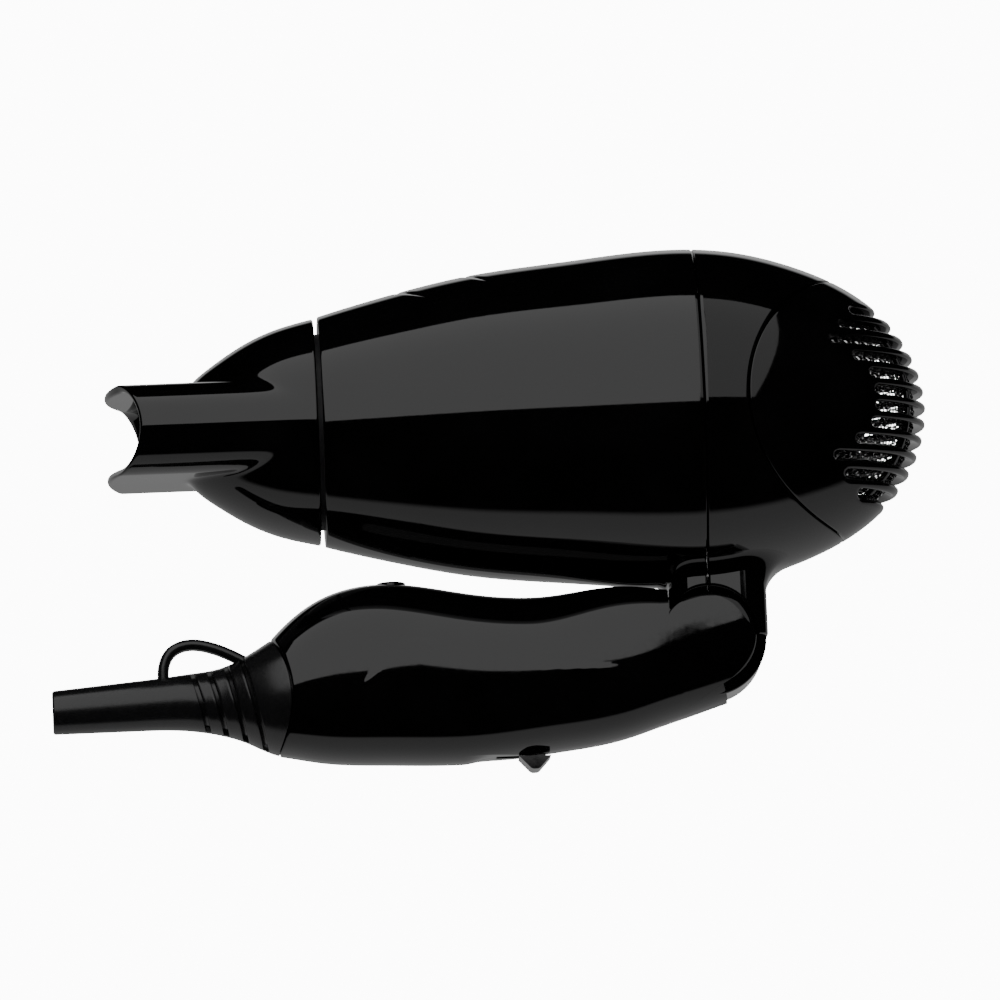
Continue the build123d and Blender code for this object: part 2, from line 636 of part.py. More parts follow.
def make_handle():
    body = handle_body() - handle_cavity() - knob_pocket()
    body -= oval(BUTTON_X, BUTTON_HALF_LENGTH + 0.35, BUTTON_HALF_WIDTH + 0.35, BUTTON_FLANGE_Z - 2, FAR)
    body -= tube_along_boot(STEM_R + 0.05, -60, -40)
    places = [Pos(x, 13.0, z) * Rot(90, 0, 0) for x, z in HANDLE_SCREWS_AT]
    for place in places:
        body -= place * screw_hole(HANDLE_SCREW, 8)
    save(body & block(-FAR, FAR, -FAR, 0, -FAR, FAR), "handle_left_shell")
    save(body & block(-FAR, FAR, 0, FAR, -FAR, FAR), "handle_right_shell")
    save(group(place * screw(HANDLE_SCREW) for place in places), "handle_screws")


def tube_along_boot(r, x0, x1):
    """A round bar on the axis of the cord bore, between two distances from the boot's tip."""
    start = BOOT[0][0]
    place = Pos(start, 0, BOOT_TIP_Z) * Rot(0, 90 - BOOT_TILT, 0)
    return place * Pos(0, 0, (x0 + x1) / 2 - start) * Cylinder(r, x1 - x0)


def make_boot():
    boot = (long_body(BOOT[:2], BOOT_POWER) + long_body(BOOT[1:], BOOT_POWER)) & end_arc(-SEAM)
    core = long_body(BOOT[1:], BOOT_POWER, GROOVE_DEPTH)
    spine = block(-FAR, FAR, -SPINE_HALF, SPINE_HALF, -FAR, FAR)
    for x in GROOVES:
        boot -= Pos(x, 0, GROOVE_Z) * Rot(0, GROOVE_LEAN, 0) * Box(GROOVE_WIDTH, 40, 40) - core - spine
    loop_line = FilletPolyline(*[(x, z) for x, z in LOOP_PATH], radius=LOOP_BEND)
    loop = extrude(Plane.XZ * trace(loop_line, LOOP_THICKNESS), LOOP_HALF_WIDTH, both=True)
    boot += loop - core
    boot += tube_along_boot(STEM_R, -50, STEM_END) + tube_along_boot(FLANGE_R, FLANGE_FRONT, STEM_END)
    boot -= tube_along_boot(CORD_R, BOOT[0][0] - 1, STEM_END + 1)
    save(boot, "cord_boot")


def make_cord_clamp():
    x0, x1 = CLAMP_X - CLAMP_HALF_LENGTH, CLAMP_X + CLAMP_HALF_LENGTH
    bars = [block(x0, x1, -CLAMP_HALF_WIDTH, CLAMP_HALF_WIDTH, z0, z1) for z0, z1 in CLAMP_LEVELS]
    places = [Pos(CLAMP_X, y, CLAMP_LEVELS[1][1]) * Rot(180, 0, 0) for y in (-CLAMP_SCREW_Y, CLAMP_SCREW_Y)]
    for place in places:
        bars = [bar - place * screw_hole(CLAMP_SCREW, 0.1) for bar in bars]
    save(group(bars), "cord_clamp")
    screws = [place * screw(CLAMP_SCREW) for place in places]
    save(group(screws), "clamp_screws")


def make_switches():
    body = block(KNOB_X - 13, KNOB_X + 5, -5.5, 5.5, SWITCH_FLOOR, SWITCH_TOP)
    body -= block(KNOB_X - 10, KNOB_X + 3, -3.5, 3.5, SWITCH_FLOOR - 1, SWITCH_FLOOR + 3.4)
    save(body, "switch_body")
    tabs = []
    for step in range(CONTACTS):
        x = KNOB_X - 11.5 + CONTACT_PITCH * step
        tabs.append(block(x, x + 0.8, -2.4, 2.4, SWITCH_TOP, SWITCH_TOP + CONTACT_LENGTH))
    save(group(tabs), "switch_contacts")
    knob = side_shape([(KNOB_X + x, z) for x, z in KNOB_PROFILE], KNOB_HALF)
    stem_top = SWITCH_FLOOR + 2.6
    knob += block(KNOB_X - 2, KNOB_X + 2, -STEM_HALF, STEM_HALF, KNOB_PROFILE[0][1], stem_top)
    save(knob, "switch_knob")


def make_cool_shot():
    button = oval(BUTTON_X, BUTTON_HALF_LENGTH, BUTTON_HALF_WIDTH, BUTTON_FLANGE_Z, BUTTON_TOP)
    button = fillet(button.faces().sort_by(Axis.Z)[-1].edges(), 0.35)
    flange = BUTTON_FLANGE_Z - FLANGE_STEP
    flange_length, flange_width = BUTTON_HALF_LENGTH + FLANGE_STEP, BUTTON_HALF_WIDTH + FLANGE_STEP
    button += oval(BUTTON_X, flange_length, flange_width, flange, BUTTON_FLANGE_Z)
    button += upright(BUTTON_X, 0, 1.4, MICROSWITCH_TOP + BUTTON_TRAVEL + 0.5, BUTTON_FLANGE_Z)
    save(button, "cool_shot_button")
    top = MICROSWITCH_TOP
    floor = top - MICROSWITCH_HEIGHT
    switch = block(BUTTON_X - MICROSWITCH_HALF, BUTTON_X + MICROSWITCH_HALF, -3, 3, floor, top)
    for x in (BUTTON_X - 4, BUTTON_X + 4):
        switch += block(x - 0.4, x + 0.4, -1.2, 1.2, floor - TERMINAL_LENGTH, floor)
    save(switch, "cool_shot_switch")
    height = flange - top - 2 * SPRING_WIRE - 0.1
    start = (BUTTON_X, 0, top + SPRING_WIRE + 0.05)
    spring = coil(start, height, height / 5, SPRING_R, SPRING_WIRE, (0, 0, 1))
    save(spring, "cool_shot_spring")


def make_switch_leads():
    leads = [lead([(x, y, z) for x, z in SWITCH_LEAD], 6) for y in (-3.8, 3.8)]
    save(group(leads), "switch_leads")


# ---------------------------------------------------------------- build
os.makedirs("parts", exist_ok=True)
make_housings()
make_intake_cap()
make_lint_screen()
make_concentrator()
make_outlet()
make_heater()
make_motor()
make_motor_mount()
make_fan()
make_diode_board()
make_heater_leads()
make_hinge()
make_handle()
make_boot()
make_cord_clamp()
make_switches()
make_cool_shot()
make_switch_leads()
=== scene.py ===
"""Folding travel hair dryer: the visual model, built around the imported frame, in metres."""

import bpy
import bmesh
import json
import numpy as np
from math import atan2, cos, hypot, pi, radians, sin, sqrt, tan
from mathutils import Matrix, Vector


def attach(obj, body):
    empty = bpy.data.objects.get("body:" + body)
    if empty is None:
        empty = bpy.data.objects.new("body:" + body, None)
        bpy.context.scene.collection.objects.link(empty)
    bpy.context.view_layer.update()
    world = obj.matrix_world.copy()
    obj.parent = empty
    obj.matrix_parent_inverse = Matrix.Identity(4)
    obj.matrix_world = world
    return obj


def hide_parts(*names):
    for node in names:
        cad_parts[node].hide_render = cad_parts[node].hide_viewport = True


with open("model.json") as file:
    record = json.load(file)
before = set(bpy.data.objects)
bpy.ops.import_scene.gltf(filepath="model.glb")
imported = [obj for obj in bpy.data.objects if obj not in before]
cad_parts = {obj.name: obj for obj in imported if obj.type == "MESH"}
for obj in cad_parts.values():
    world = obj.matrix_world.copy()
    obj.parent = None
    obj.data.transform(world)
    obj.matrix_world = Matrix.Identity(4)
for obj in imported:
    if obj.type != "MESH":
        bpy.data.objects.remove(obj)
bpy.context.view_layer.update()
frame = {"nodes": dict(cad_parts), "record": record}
NODES = frame["nodes"]
MM = 0.001  # shapes are worked out in millimetres
CAD_WELD = 2e-6  # metres
CAD_EDGE = 28  # degrees between faces that still look sharp


# ---------------- materials
class Nodes:
    """A short way to write a node tree."""

    def __init__(self, tree):
        self.tree = tree

    def link(self, a, b):
        self.tree.links.new(a, b)

    def add(self, kind, *sources, **settings):
        """A new node with named settings, and its first inputs linked to the sources."""
        node = self.tree.nodes.new(kind)
        for key, value in settings.items():
            if key in node.inputs:
                node.inputs[key].default_value = value
            else:
                setattr(node, key, value)
        for index, source in enumerate(sources):
            if source is not None:
                self.link(source, node.inputs[index])
        return node

    def math(self, operation, a, b):
        """Arithmetic on two values, each a socket or a plain number."""
        node = self.add("ShaderNodeMath", operation=operation)
        for value, socket in zip((a, b), node.inputs):
            if isinstance(value, float):
                socket.default_value = value
            else:
                self.link(value, socket)
        return node.outputs[0]

    def ramp(self, source, low, high, start=0.0, end=1.0, shape="LINEAR"):
        """Maps a value between start and end onto a range of numbers."""
        node = self.add("ShaderNodeMapRange", source, interpolation_type=shape)
        for key, value in (("From Min", start), ("From Max", end), ("To Min", low), ("To Max", high)):
            node.inputs[key].default_value = value
        return node.outputs["Result"]


class Material(Nodes):
    """A material with one main shader."""

    def __init__(self, name):
        self.material = bpy.data.materials.new(name)
        self.material.use_nodes = True
        super().__init__(self.material.node_tree)
        self.shader = self.tree.nodes["Principled BSDF"]

    def set(self, **values):
        for key, value in values.items():
            self.shader.inputs[key.replace("_", " ")].default_value = value

    def noise(self, scale, detail=2.0, roughness=0.5, stretch=(1, 1, 1)):
        """Noise in the object's own space, in features per metre."""
        place = self.add("ShaderNodeTexCoord").outputs["Object"]
        stretched = self.add("ShaderNodeMapping", place, Scale=stretch).outputs["Vector"]
        return self.add("ShaderNodeTexNoise", stretched, Scale=scale, Detail=detail,
                        Roughness=roughness).outputs["Fac"]

    def colour(self, fac, dark, light):
        """Mottles the base colour between two colours."""
        node = self.add("ShaderNodeMix", fac, data_type="RGBA")
        node.inputs[6].default_value = (*dark, 1)
        node.inputs[7].default_value = (*light, 1)
        self.link(node.outputs[2], self.shader.inputs["Base Color"])

    def roughness(self, fac, low, high, start=0.0, end=1.0):
        self.link(self.ramp(fac, low, high, start, end), self.shader.inputs["Roughness"])

    def bump(self, height, strength, distance):
        node = self.add("ShaderNodeBump", Strength=strength, Distance=distance)
        self.link(height, node.inputs["Height"])
        self.link(node.outputs["Normal"], self.shader.inputs["Normal"])


def gloss_black():
    """Piano-black moulded plastic: deep gloss, faint moulding ripple, dust-fine roughness changes."""
    m = Material("gloss_black")
    m.colour(m.ramp(m.noise(60, 3), 0, 1, 0.3, 0.7), (0.0004, 0.0004, 0.0004), (0.001, 0.001, 0.0011))
    m.roughness(m.noise(900, 4), 0.03, 0.06, 0.3, 0.7)
    m.set(IOR=1.5)
    m.bump(m.noise(220, 2), 0.02, 0.0002)
    return m.material


def satin_rubber():
    """Soft black rubber with a fine grain."""
    m = Material("satin_rubber")
    m.colour(m.noise(300, 4), (0.0016, 0.0016, 0.0018), (0.004, 0.004, 0.0043))
    m.roughness(m.noise(1500, 5), 0.19, 0.27, 0.3, 0.7)
    m.bump(m.noise(4200, 3), 0.08, 0.0001)
    return m.material


def matt_black():
    """Matt black plastic for the inner parts."""
    m = Material("matt_black")
    m.colour(m.noise(400, 4), (0.008, 0.008, 0.009), (0.02, 0.02, 0.022))
    m.roughness(m.noise(1200, 4), 0.45, 0.65)
    m.bump(m.noise(5000, 3), 0.15, 0.0001)
    return m.material


def steel(name="steel", tone=0.55, rough=0.25):
    """Metal with fine streaks across it."""
    m = Material(name)
    m.set(Metallic=1.0)
    streaks = m.noise(700, 5, 0.6, (1, 12, 12))
    m.colour(streaks, (tone * 0.75,) * 3, (tone * 1.1,) * 3)
    m.roughness(streaks, rough * 0.8, rough * 1.5)
    m.bump(m.noise(3000, 3, 0.5, (1, 8, 8)), 0.08, 0.0001)
    return m.material


def tinted(name, dark, light, rough, metallic=0.0, scale=500):
    """A mottled material between two colours."""
    m = Material(name)
    m.set(Metallic=metallic)
    mottle = m.noise(scale, 5, 0.6)
    m.colour(mottle, dark, light)
    m.roughness(mottle, rough * 0.85, rough * 1.15)
    m.bump(m.noise(scale * 6, 3), 0.12, 0.0001)
    return m.material


GLOSS = gloss_black()
RUBBER = satin_rubber()
WIRE = steel("bright_wire", 0.8, 0.16)
SLOT_MATERIALS = {
    "gloss_shell": GLOSS,
    "knob_plastic": GLOSS,
    "boot_rubber": RUBBER,
    "inner_plastic": matt_black(),
    "washer_nylon": tinted("nylon", (0.6, 0.59, 0.55), (0.75, 0.74, 0.7), 0.45),
    "steel": steel(),
    "screen_wire": WIRE,
    "ferrite": tinted("ferrite", (0.03, 0.03, 0.032), (0.07, 0.07, 0.075), 0.6),
    "bronze": tinted("bronze", (0.55, 0.36, 0.16), (0.72, 0.5, 0.26), 0.32, 1.0),
    "mica": tinted("mica", (0.48, 0.42, 0.32), (0.7, 0.64, 0.52), 0.35, 0.0, 200),
    "heater_wire": tinted("nichrome", (0.3, 0.28, 0.26), (0.42, 0.4, 0.38), 0.35, 1.0),
    "thermostat_metal": tinted("satin_aluminium", (0.6, 0.6, 0.61), (0.75, 0.75, 0.76), 0.3, 1.0),
    "board": tinted("phenolic", (0.22, 0.15, 0.06), (0.34, 0.25, 0.12), 0.5),
    "lead_insulation": tinted("silicone", (0.45, 0.43, 0.4), (0.58, 0.56, 0.52), 0.45),
}


def finish_cad_nodes():
    """Gives each CAD node its material and smooth faces that still break at real edges."""
    slots = {part["node"]: part["material_slot"] for part in frame["record"]["subparts"]}
    for name, obj in NODES.items():
        obj.data.materials.clear()
        obj.data.materials.append(SLOT_MATERIALS[slots[name]])
        custom = obj.data.attributes.get("custom_normal")
        if custom:
            obj.data.attributes.remove(custom)
        obj.data.shade_smooth()
        weld = obj.modifiers.new("weld", "WELD")
        weld.merge_threshold = CAD_WELD
        split = obj.modifiers.new("edges", "EDGE_SPLIT")
        split.split_angle = radians(CAD_EDGE)


# ---------------- mesh building
def smooth_line(points, start=None, end=None, samples=1600):
    """A C2 curve through 2-D points, sampled finely. Gives places and unit tangents as arrays."""
    knots = np.array(points, float)
    reach = np.concatenate([[0], np.cumsum(np.hypot(*np.diff(knots, axis=0).T))])
    count = len(knots)
    step = np.diff(reach)
    factors = np.zeros((count, count))
    wanted = np.zeros((count, 2))
    for i in range(1, count - 1):
        before, after = step[i - 1], step[i]
        factors[i, i - 1:i + 2] = after, 2 * (before + after), before
        rise, next_rise = knots[i] - knots[i - 1], knots[i + 1] - knots[i]
        wanted[i] = 3 * (after * rise / before + before * next_rise / after)
    for row, beside, given, gap in ((0, 1, start, step[0]), (count - 1, count - 2, end, step[-1])):
        if given is None:
            factors[row, row] = 2
            factors[row, beside] = 1
            wanted[row] = 3 * (knots[beside] - knots[row]) / gap * (1 if row == 0 else -1)
        else:
            factors[row, row] = 1
            wanted[row] = given
    slope = np.linalg.solve(factors, wanted)
    along = np.linspace(0, reach[-1], samples)
    k = np.clip(np.searchsorted(reach, along, side="right") - 1, 0, count - 2)
    s = ((along - reach[k]) / step[k])[:, None]
    span = step[k][:, None]
    place = ((1 + 2 * s) * (1 - s) ** 2 * knots[k] + s * (1 - s) ** 2 * span * slope[k]
             + s ** 2 * (3 - 2 * s) * knots[k + 1] + s ** 2 * (s - 1) * span * slope[k + 1])
    tangent = np.gradient(place, axis=0)
    tangent /= np.hypot(*tangent.T)[:, None]
    return place, tangent


def edge_round(distance, radius):
    """How far a rounded edge lies under the surface, at a distance from the edge."""
    if distance >= radius:
        return 0.0
    reach = radius - max(distance, 0.0)
    return radius - sqrt(max(radius ** 2 - reach ** 2, 0.0))


def add_object(name, data):
    """A new object in the scene."""
    obj = bpy.data.objects.new(name, data)
    bpy.context.scene.collection.objects.link(obj)
    return obj


def grids(rows, columns, point):
    """Skin and lining grids, from a function that gives both points of a row and a column."""
    pairs = [[point(row, column) for column in columns] for row in rows]
    outer = [[skin for skin, _ in line] for line in pairs]
    inner = [[lining for _, lining in line] for line in pairs]
    return outer, inner


def closed_mesh(name, points, faces, merge=False):
    """A mesh from points in millimetres, with its normals outwards."""
    mesh = bpy.data.meshes.new(name)
    mesh.from_pydata([tuple(c * MM for c in p) for p in points], [], faces)
    bm = bmesh.new()
    bm.from_mesh(mesh)
    if merge:
        bmesh.ops.remove_doubles(bm, verts=bm.verts, dist=1e-6)
        bmesh.ops.dissolve_degenerate(bm, dist=1e-7, edges=bm.edges)
        bmesh.ops.delete(bm, geom=[v for v in bm.verts if not v.link_faces], context="VERTS")
    bmesh.ops.recalc_face_normals(bm, faces=bm.faces)
    bm.to_mesh(mesh)
    bm.free()
    return mesh


def shell_mesh(name, outer, inner, wrap=False, keep=None, material=GLOSS):
    """A closed shell from two grids of points: skin, lining and rims."""
    rows, cols = len(outer), len(outer[0])
    half = rows * cols
    faces = []
    spans = cols if wrap else cols - 1
    kept = [[keep is None or keep(i, j) for j in range(spans)] for i in range(rows - 1)]

    def at(i, j):
        return i * cols + j % cols

    def is_kept(i, j):
        if wrap:
            j %= spans
        return 0 <= i < rows - 1 and 0 <= j < spans and kept[i][j]

    for i in range(rows - 1):
        for j in range(spans):
            if not kept[i][j]:
                continue
            a, b, c, d = at(i, j), at(i + 1, j), at(i + 1, j + 1), at(i, j + 1)
            faces.append((a, b, c, d))
            faces.append((d + half, c + half, b + half, a + half))
            sides = (((b, a), (0, -1)), ((d, c), (0, 1)), ((a, d), (-1, 0)), ((c, b), (1, 0)))
            for (p, q), (di, dj) in sides:
                if not is_kept(i + di, j + dj):
                    faces.append((p, q, q + half, p + half))
    points = [p for row in outer + inner for p in row]
    obj = add_object(name, closed_mesh(name, points, faces, merge=True))
    obj.data.materials.append(material)
    smooth(obj)
    return obj


def smooth(obj, angle=32):
    """Smooth faces, with sharp edges where the surface really breaks."""
    mesh = obj.data
    mesh.polygons.foreach_set("use_smooth", [True] * len(mesh.polygons))
    bm = bmesh.new()
    bm.from_mesh(mesh)
    for edge in bm.edges:
        edge.smooth = len(edge.link_faces) == 2 and edge.calc_face_angle() < radians(angle)
    bm.to_mesh(mesh)
    bm.free()


# ---------------- barrel shape
AXIS_Z = 76.7  # the barrel's axis
WALL = 1.8
BARREL = [(-35.9, 25.4), (-20.3, 29.5), (-3.7, 33.0), (19.6, 35.6), (42.0, 37.3), (55.9, 36.2),
          (68.9, 32.6), (81.9, 26.2), (91.4, 17.2), (97.3, 0.0)]        # place and radius
SPLIT_X = 47.0  # between the front and rear housings
CAP_ARC_X = 86.7  # the cap's seam is an arc in side view
CAP_ARC_R = 29.9
EDGE_STEPS = (0.0, 0.06, 0.2, 0.42, 0.7, 1.0)  # where rows lie on a rounded edge

LINE, ALONG = smooth_line(BARREL, start=(0.96, 0.28), end=(0, -1))
LINE_T = np.linspace(0, 1, len(LINE))
WIDEST = int(np.argmax(LINE[:, 1]))


def outline_at(t):
    """Place and outward normal of the barrel's outline at a share of its samples."""
    x, r = np.interp(t, LINE_T, LINE[:, 0]), np.interp(t, LINE_T, LINE[:, 1])
    ax, ar = np.interp(t, LINE_T, ALONG[:, 0]), np.interp(t, LINE_T, ALONG[:, 1])
    return x, r, -ar, ax


def t_of_x(x):
    """Where the outline passes a place along the axis, as a share of its samples."""
    return float(np.interp(x, LINE[:, 0], LINE_T))


def t_of_r(r):
    """Where the barrel's tail has a radius, as a share of the outline's samples."""
    return float(np.interp(-r, -LINE[WIDEST:, 1], LINE_T[WIDEST:]))


def barrel_point(t, y_share, z_share, inset=0.0):
    """A point on the barrel from its outline place and the direction around the axis."""
    x, r, nx, nr = outline_at(t)
    r -= nr * inset
    return (x - nx * inset, r * y_share, AXIS_Z + r * z_share)


def around(steps):
    """Directions around the barrel's axis."""
    return [(cos(2 * pi * k / steps), sin(2 * pi * k / steps)) for k in range(steps)]


def spread(a, b, count):
    """Evenly spaced numbers from a to b."""
    return [a + (b - a) * k / (count - 1) for k in range(count)]


def with_edges(start, end, count, radius):
    """Stations from start to end, close together at both rounded edges, with their edge distance."""
    length = abs(end - start)
    near = [s * radius for s in EDGE_STEPS]
    middle = spread(radius * 1.5, length - radius * 1.5, count)
    distances = near + middle + [length - d for d in reversed(near)]
    sign = 1 if end > start else -1
    return [(start + sign * d, min(d, length - d)) for d in distances]


# ---------------- barrel, neck and intake cap
SEAM = 0.16  # half the gap between two pieces
SEAM_ROUND = 0.3
RIM_ROUND = 0.45
BARREL_FRONT = -36.1
BAND_SPAN = 60.0  # rows are spaced over this length, and then stretched
BAND_EDGE = 0.7
ROUND_STEPS = 400
FIN_PITCH = 3.75
FIN_DEPTH = 2.4
FIN_ROUND = 0.74
SLOT_HALF = 1.05
SLOT_FRONTS = [85.3, 84.2, 80.5, 75.4, 77.9, 80.8]
SLOTS = [((level + 0.5) * FIN_PITCH, front) for level, front in enumerate(SLOT_FRONTS)]
LAST_SLOT = SLOTS[-1][0] + SLOT_HALF
SEAM_TO_SLOT = 34  # columns
SLOT_TO_TAIL = 40
RIB_Y = 12.0
RIB_REACH = 21.0
SCREEN_UNDER = 2.85
SCREEN_REACH = 29.0
WEAVE_PITCH = 1.05
WEAVE_WIRE = 0.34
PIVOT_X = 46.95
PIVOT_Z = 26.8
HINGE_BORE = 4.0
CHEEK_R = 10.3
CHEEK_GAP = 0.4
KNUCKLE_R = 12.7
KNUCKLE_HALF = 8.4
KNUCKLE_ROUND = 0.6
NECK_FRONT = 38.6
NECK_REAR = 60.0
NECK_HALF = 15.0
NECK_CORNER = 6.0
NECK_EDGE = 0.5
NECK_BLEND = 4.5  # at the sides
NECK_BLEND_REAR = 8.0
NECK_BLEND_FRONT = 2.4
BLEND_STEPS = 12
CREASES = [((-18.8, 29.9), (0.3, 22.3)), ((-3.7, 33.1), (4.9, 28.5))]
CREASE_HALF = 0.75
CREASE_DEPTH = 0.3
CREASE_LEAD = 3.0  # how far a crease runs on past its first point
CREASE_ZONE = (-22.0, 6.0)


def bisect(f, low, high):
    """Where a function changes sign."""
    side = f(low) > 0
    for _ in range(40):
        middle = (low + high) / 2
        if (f(middle) > 0) == side:
            low = middle
        else:
            high = middle
    return (low + high) / 2


def arc_seam_x(z_share, radius):
    """Where the cap's arc seam crosses the barrel line that runs in a direction around the axis."""
    def outside(x):
        r = outline_at(t_of_x(x))[1]
        return (x - CAP_ARC_X) ** 2 + (r * z_share) ** 2 - radius ** 2
    return bisect(outside, 50, 90)


def crease_inset(x, z):
    """Depth of the two slanting grooves on the barrel's shoulder, at a place seen from the side."""
    depth = 0.0
    for (x0, z0), (x1, z1) in CREASES:
        dx, dz = x1 - x0, z1 - z0
        length = hypot(dx, dz)
        along = ((x - x0) * dx + (z - z0) * dz) / length
        across = abs((x - x0) * dz - (z - z0) * dx) / length
        if across < CREASE_HALF and -CREASE_LEAD < along < length:
            fade = min((length - along) / (length * 0.7), 1.0)
            depth = max(depth, CREASE_DEPTH * fade * (1 - across / CREASE_HALF) ** 1.5)
    return depth


def barrel_band(name, start, ends, front_round, rows):
    """Part of the barrel's wall, from its start to an end of its own in each direction around the axis."""
    def point(share, column):
        (y, z), end = column
        x = start + (end - start) * share
        length = end - start
        inset = max(edge_round(share * length, front_round), edge_round((1 - share) * length, SEAM_ROUND))
        t = t_of_x(x)
        if z > 0.5 and CREASE_ZONE[0] < x < CREASE_ZONE[1]:
            inset += crease_inset(x, outline_at(t)[1] * z)
        return barrel_point(t, y, z, inset), barrel_point(t, y, z, WALL)

    shares = [distance / BAND_SPAN for distance, _ in with_edges(0, BAND_SPAN, rows, BAND_EDGE)]
    columns = list(zip(around(ROUND_STEPS), ends))
    return shell_mesh(name, *grids(shares, columns, point), wrap=True)


def front_barrel():
    ends = [SPLIT_X - SEAM] * ROUND_STEPS
    return barrel_band("front_barrel", BARREL_FRONT, ends, RIM_ROUND, 210)


def rear_barrel():
    ends = [arc_seam_x(z, CAP_ARC_R + SEAM) for _, z in around(ROUND_STEPS)]
    return barrel_band("rear_barrel", SPLIT_X + SEAM, ends, SEAM_ROUND, 30)


def cap_rows():
    """Heights of the cap's rows above the axis, and whether the span above each is a slot."""
    rows = []
    fin_half = FIN_PITCH / 2 - SLOT_HALF
    for level, (middle, _) in enumerate(SLOTS):
        fin = level * FIN_PITCH
        if level == 0:
            rows.append((0.0, False))
        else:
            rows += [(fin - fin_half + s * FIN_ROUND, False) for s in EDGE_STEPS]
        rows += [(fin + fin_half - s * FIN_ROUND, False) for s in reversed(EDGE_STEPS[1:])]
        rows += [(middle + SLOT_HALF * sin(a), True) for a in spread(-pi / 2, pi / 2, 9)[:-1]]
    top = float(outline_at(t_of_x(arc_seam_x(1.0, CAP_ARC_R - SEAM)))[1])
    above = top - LAST_SLOT - FIN_ROUND
    rows += [(LAST_SLOT + s * FIN_ROUND, False) for s in EDGE_STEPS[:-1]]
    rows += [(LAST_SLOT + FIN_ROUND + above * sin(a), False) for a in spread(0, pi / 2, 24)]
    return rows


def slot_distance(x, z):
    """Distance in side view from a point to the nearest slot, negative inside one."""
    distances = []
    for middle, front in SLOTS:
        run = max(front + SLOT_HALF - x, 0.0)
        distances.append(hypot(run, abs(abs(z) - middle)) - SLOT_HALF)
    return min(distances)


def slot_front_x(z):
    """How far back the cap is uncut at a height: slot fronts, joined by lines across the fins."""
    for middle, front in SLOTS:
        if abs(z - middle) <= SLOT_HALF:
            return front + SLOT_HALF - sqrt(max(SLOT_HALF ** 2 - (z - middle) ** 2, 0))
    knots = [0.0]
    values = [SLOT_FRONTS[0] + SLOT_HALF]
    for middle, front in SLOTS:
        knots += [middle - SLOT_HALF, middle + SLOT_HALF]
        values += [front + SLOT_HALF] * 2
    return float(np.interp(z, knots, values))


def cap_seam_x(z):
    """Where the cap's front edge lies at a height above the axis."""
    return CAP_ARC_X - sqrt((CAP_ARC_R - SEAM) ** 2 - z ** 2)


def cap_row(z):
    """One row of the cap at a height: its places along the barrel's outline, from seam to tail."""
    seam_x = cap_seam_x(z)
    tail = t_of_r(abs(z))
    tail_x = outline_at(tail)[0]
    if abs(z) <= LAST_SLOT:
        front_x = slot_front_x(abs(z))
    else:
        last_seam_x = cap_seam_x(LAST_SLOT)
        last_tail_x = outline_at(t_of_r(LAST_SLOT))[0]
        share = (slot_front_x(LAST_SLOT) - last_seam_x) / (last_tail_x - last_seam_x)
        front_x = seam_x + (tail_x - seam_x) * share
    run = front_x - seam_x
    near = [min(s * SEAM_ROUND, run * 0.1) for s in EDGE_STEPS]
    close = [min(s * 1.2, run * 0.3) for s in EDGE_STEPS]
    steps = near + spread(near[-1] * 1.5, run - close[-1] * 1.3, SEAM_TO_SLOT)
    steps += [run - c for c in reversed(close)]
    places = [t_of_x(seam_x + s) for s in steps]
    front = places[-1]
    places += [tail - (tail - front) * (1 - b) ** 2 for b in spread(0, 1, SLOT_TO_TAIL)[1:]]
    return places


def cap_point(t, z, side, inset):
    """A point of the cap at a height, on one side, under the surface by the inset."""
    x, r, nx, nr = outline_at(t)
    y = sqrt(max(r * r - z * z, 0.0)) * side
    r = max(r, 1e-6)
    return (x - nx * inset, y - nr * inset * y / r, AXIS_Z + z - nr * inset * z / r)


def intake_cap():
    """The finned cap, as a shell with its slots left out, and two ribs behind its fins."""
    upper = cap_rows()
    heights = [-z for z, _ in reversed(upper[1:])] + [z for z, _ in upper]
    spans = [slot for _, slot in upper[:-1]]
    slots = list(reversed(spans)) + spans
    lines = [(z, cap_row(z)) for z in heights]
    width = len(lines[0][1])
    columns = [(-1, k) for k in range(width)] + [(1, k) for k in reversed(range(width - 1))]
    front = width - SLOT_TO_TAIL
    last = len(columns) - 1

    def point(line, column):
        z, places = line
        side, k = column
        t = places[k]
        x = outline_at(t)[0]
        seam = CAP_ARC_R - SEAM - hypot(x - CAP_ARC_X, z)
        inset = max(edge_round(slot_distance(x, z), FIN_ROUND), edge_round(seam, SEAM_ROUND))
        return cap_point(t, z, side, inset), cap_point(t, z, side, FIN_DEPTH)

    def keep(i, j):
        return not (slots[i] and front <= j < last - front)

    cap = shell_mesh("cap_shell", *grids(lines, columns, point), keep=keep)
    return [cap] + [cap_rib(side) for side in (-1, 1)]


def cap_rib(side):
    """An upright rib behind the fins."""
    def point(z, column):
        offset, under = column
        t = t_of_r(hypot(RIB_Y + offset, z))
        return cap_point(t, z, side, under), cap_point(t, z, side, FIN_DEPTH)

    profile = ((-0.6, 1.7), (-0.45, 1.45), (0.0, 1.35), (0.45, 1.45), (0.6, 1.7))
    rows = spread(-RIB_REACH, RIB_REACH, 60)
    return shell_mesh(f"cap_rib_{'left' if side < 0 else 'right'}", *grids(rows, profile, point))


def barrel_underside(x, y):
    """Height of the barrel's lower surface, and its downward normal."""
    t = t_of_x(x)
    _, r, nx, nr = outline_at(t)
    fall = sqrt(max(r * r - y * y, 0.0))
    return AXIS_Z - fall, Vector((nx, nr * y / r, -nr * fall / r))


def neck_bottom(x):
    """Lower edge of the neck's side: an arch over the handle's cheek."""
    reach = (CHEEK_R + CHEEK_GAP) ** 2 - (x - PIVOT_X) ** 2
    return PIVOT_Z + sqrt(max(reach, 0.0))


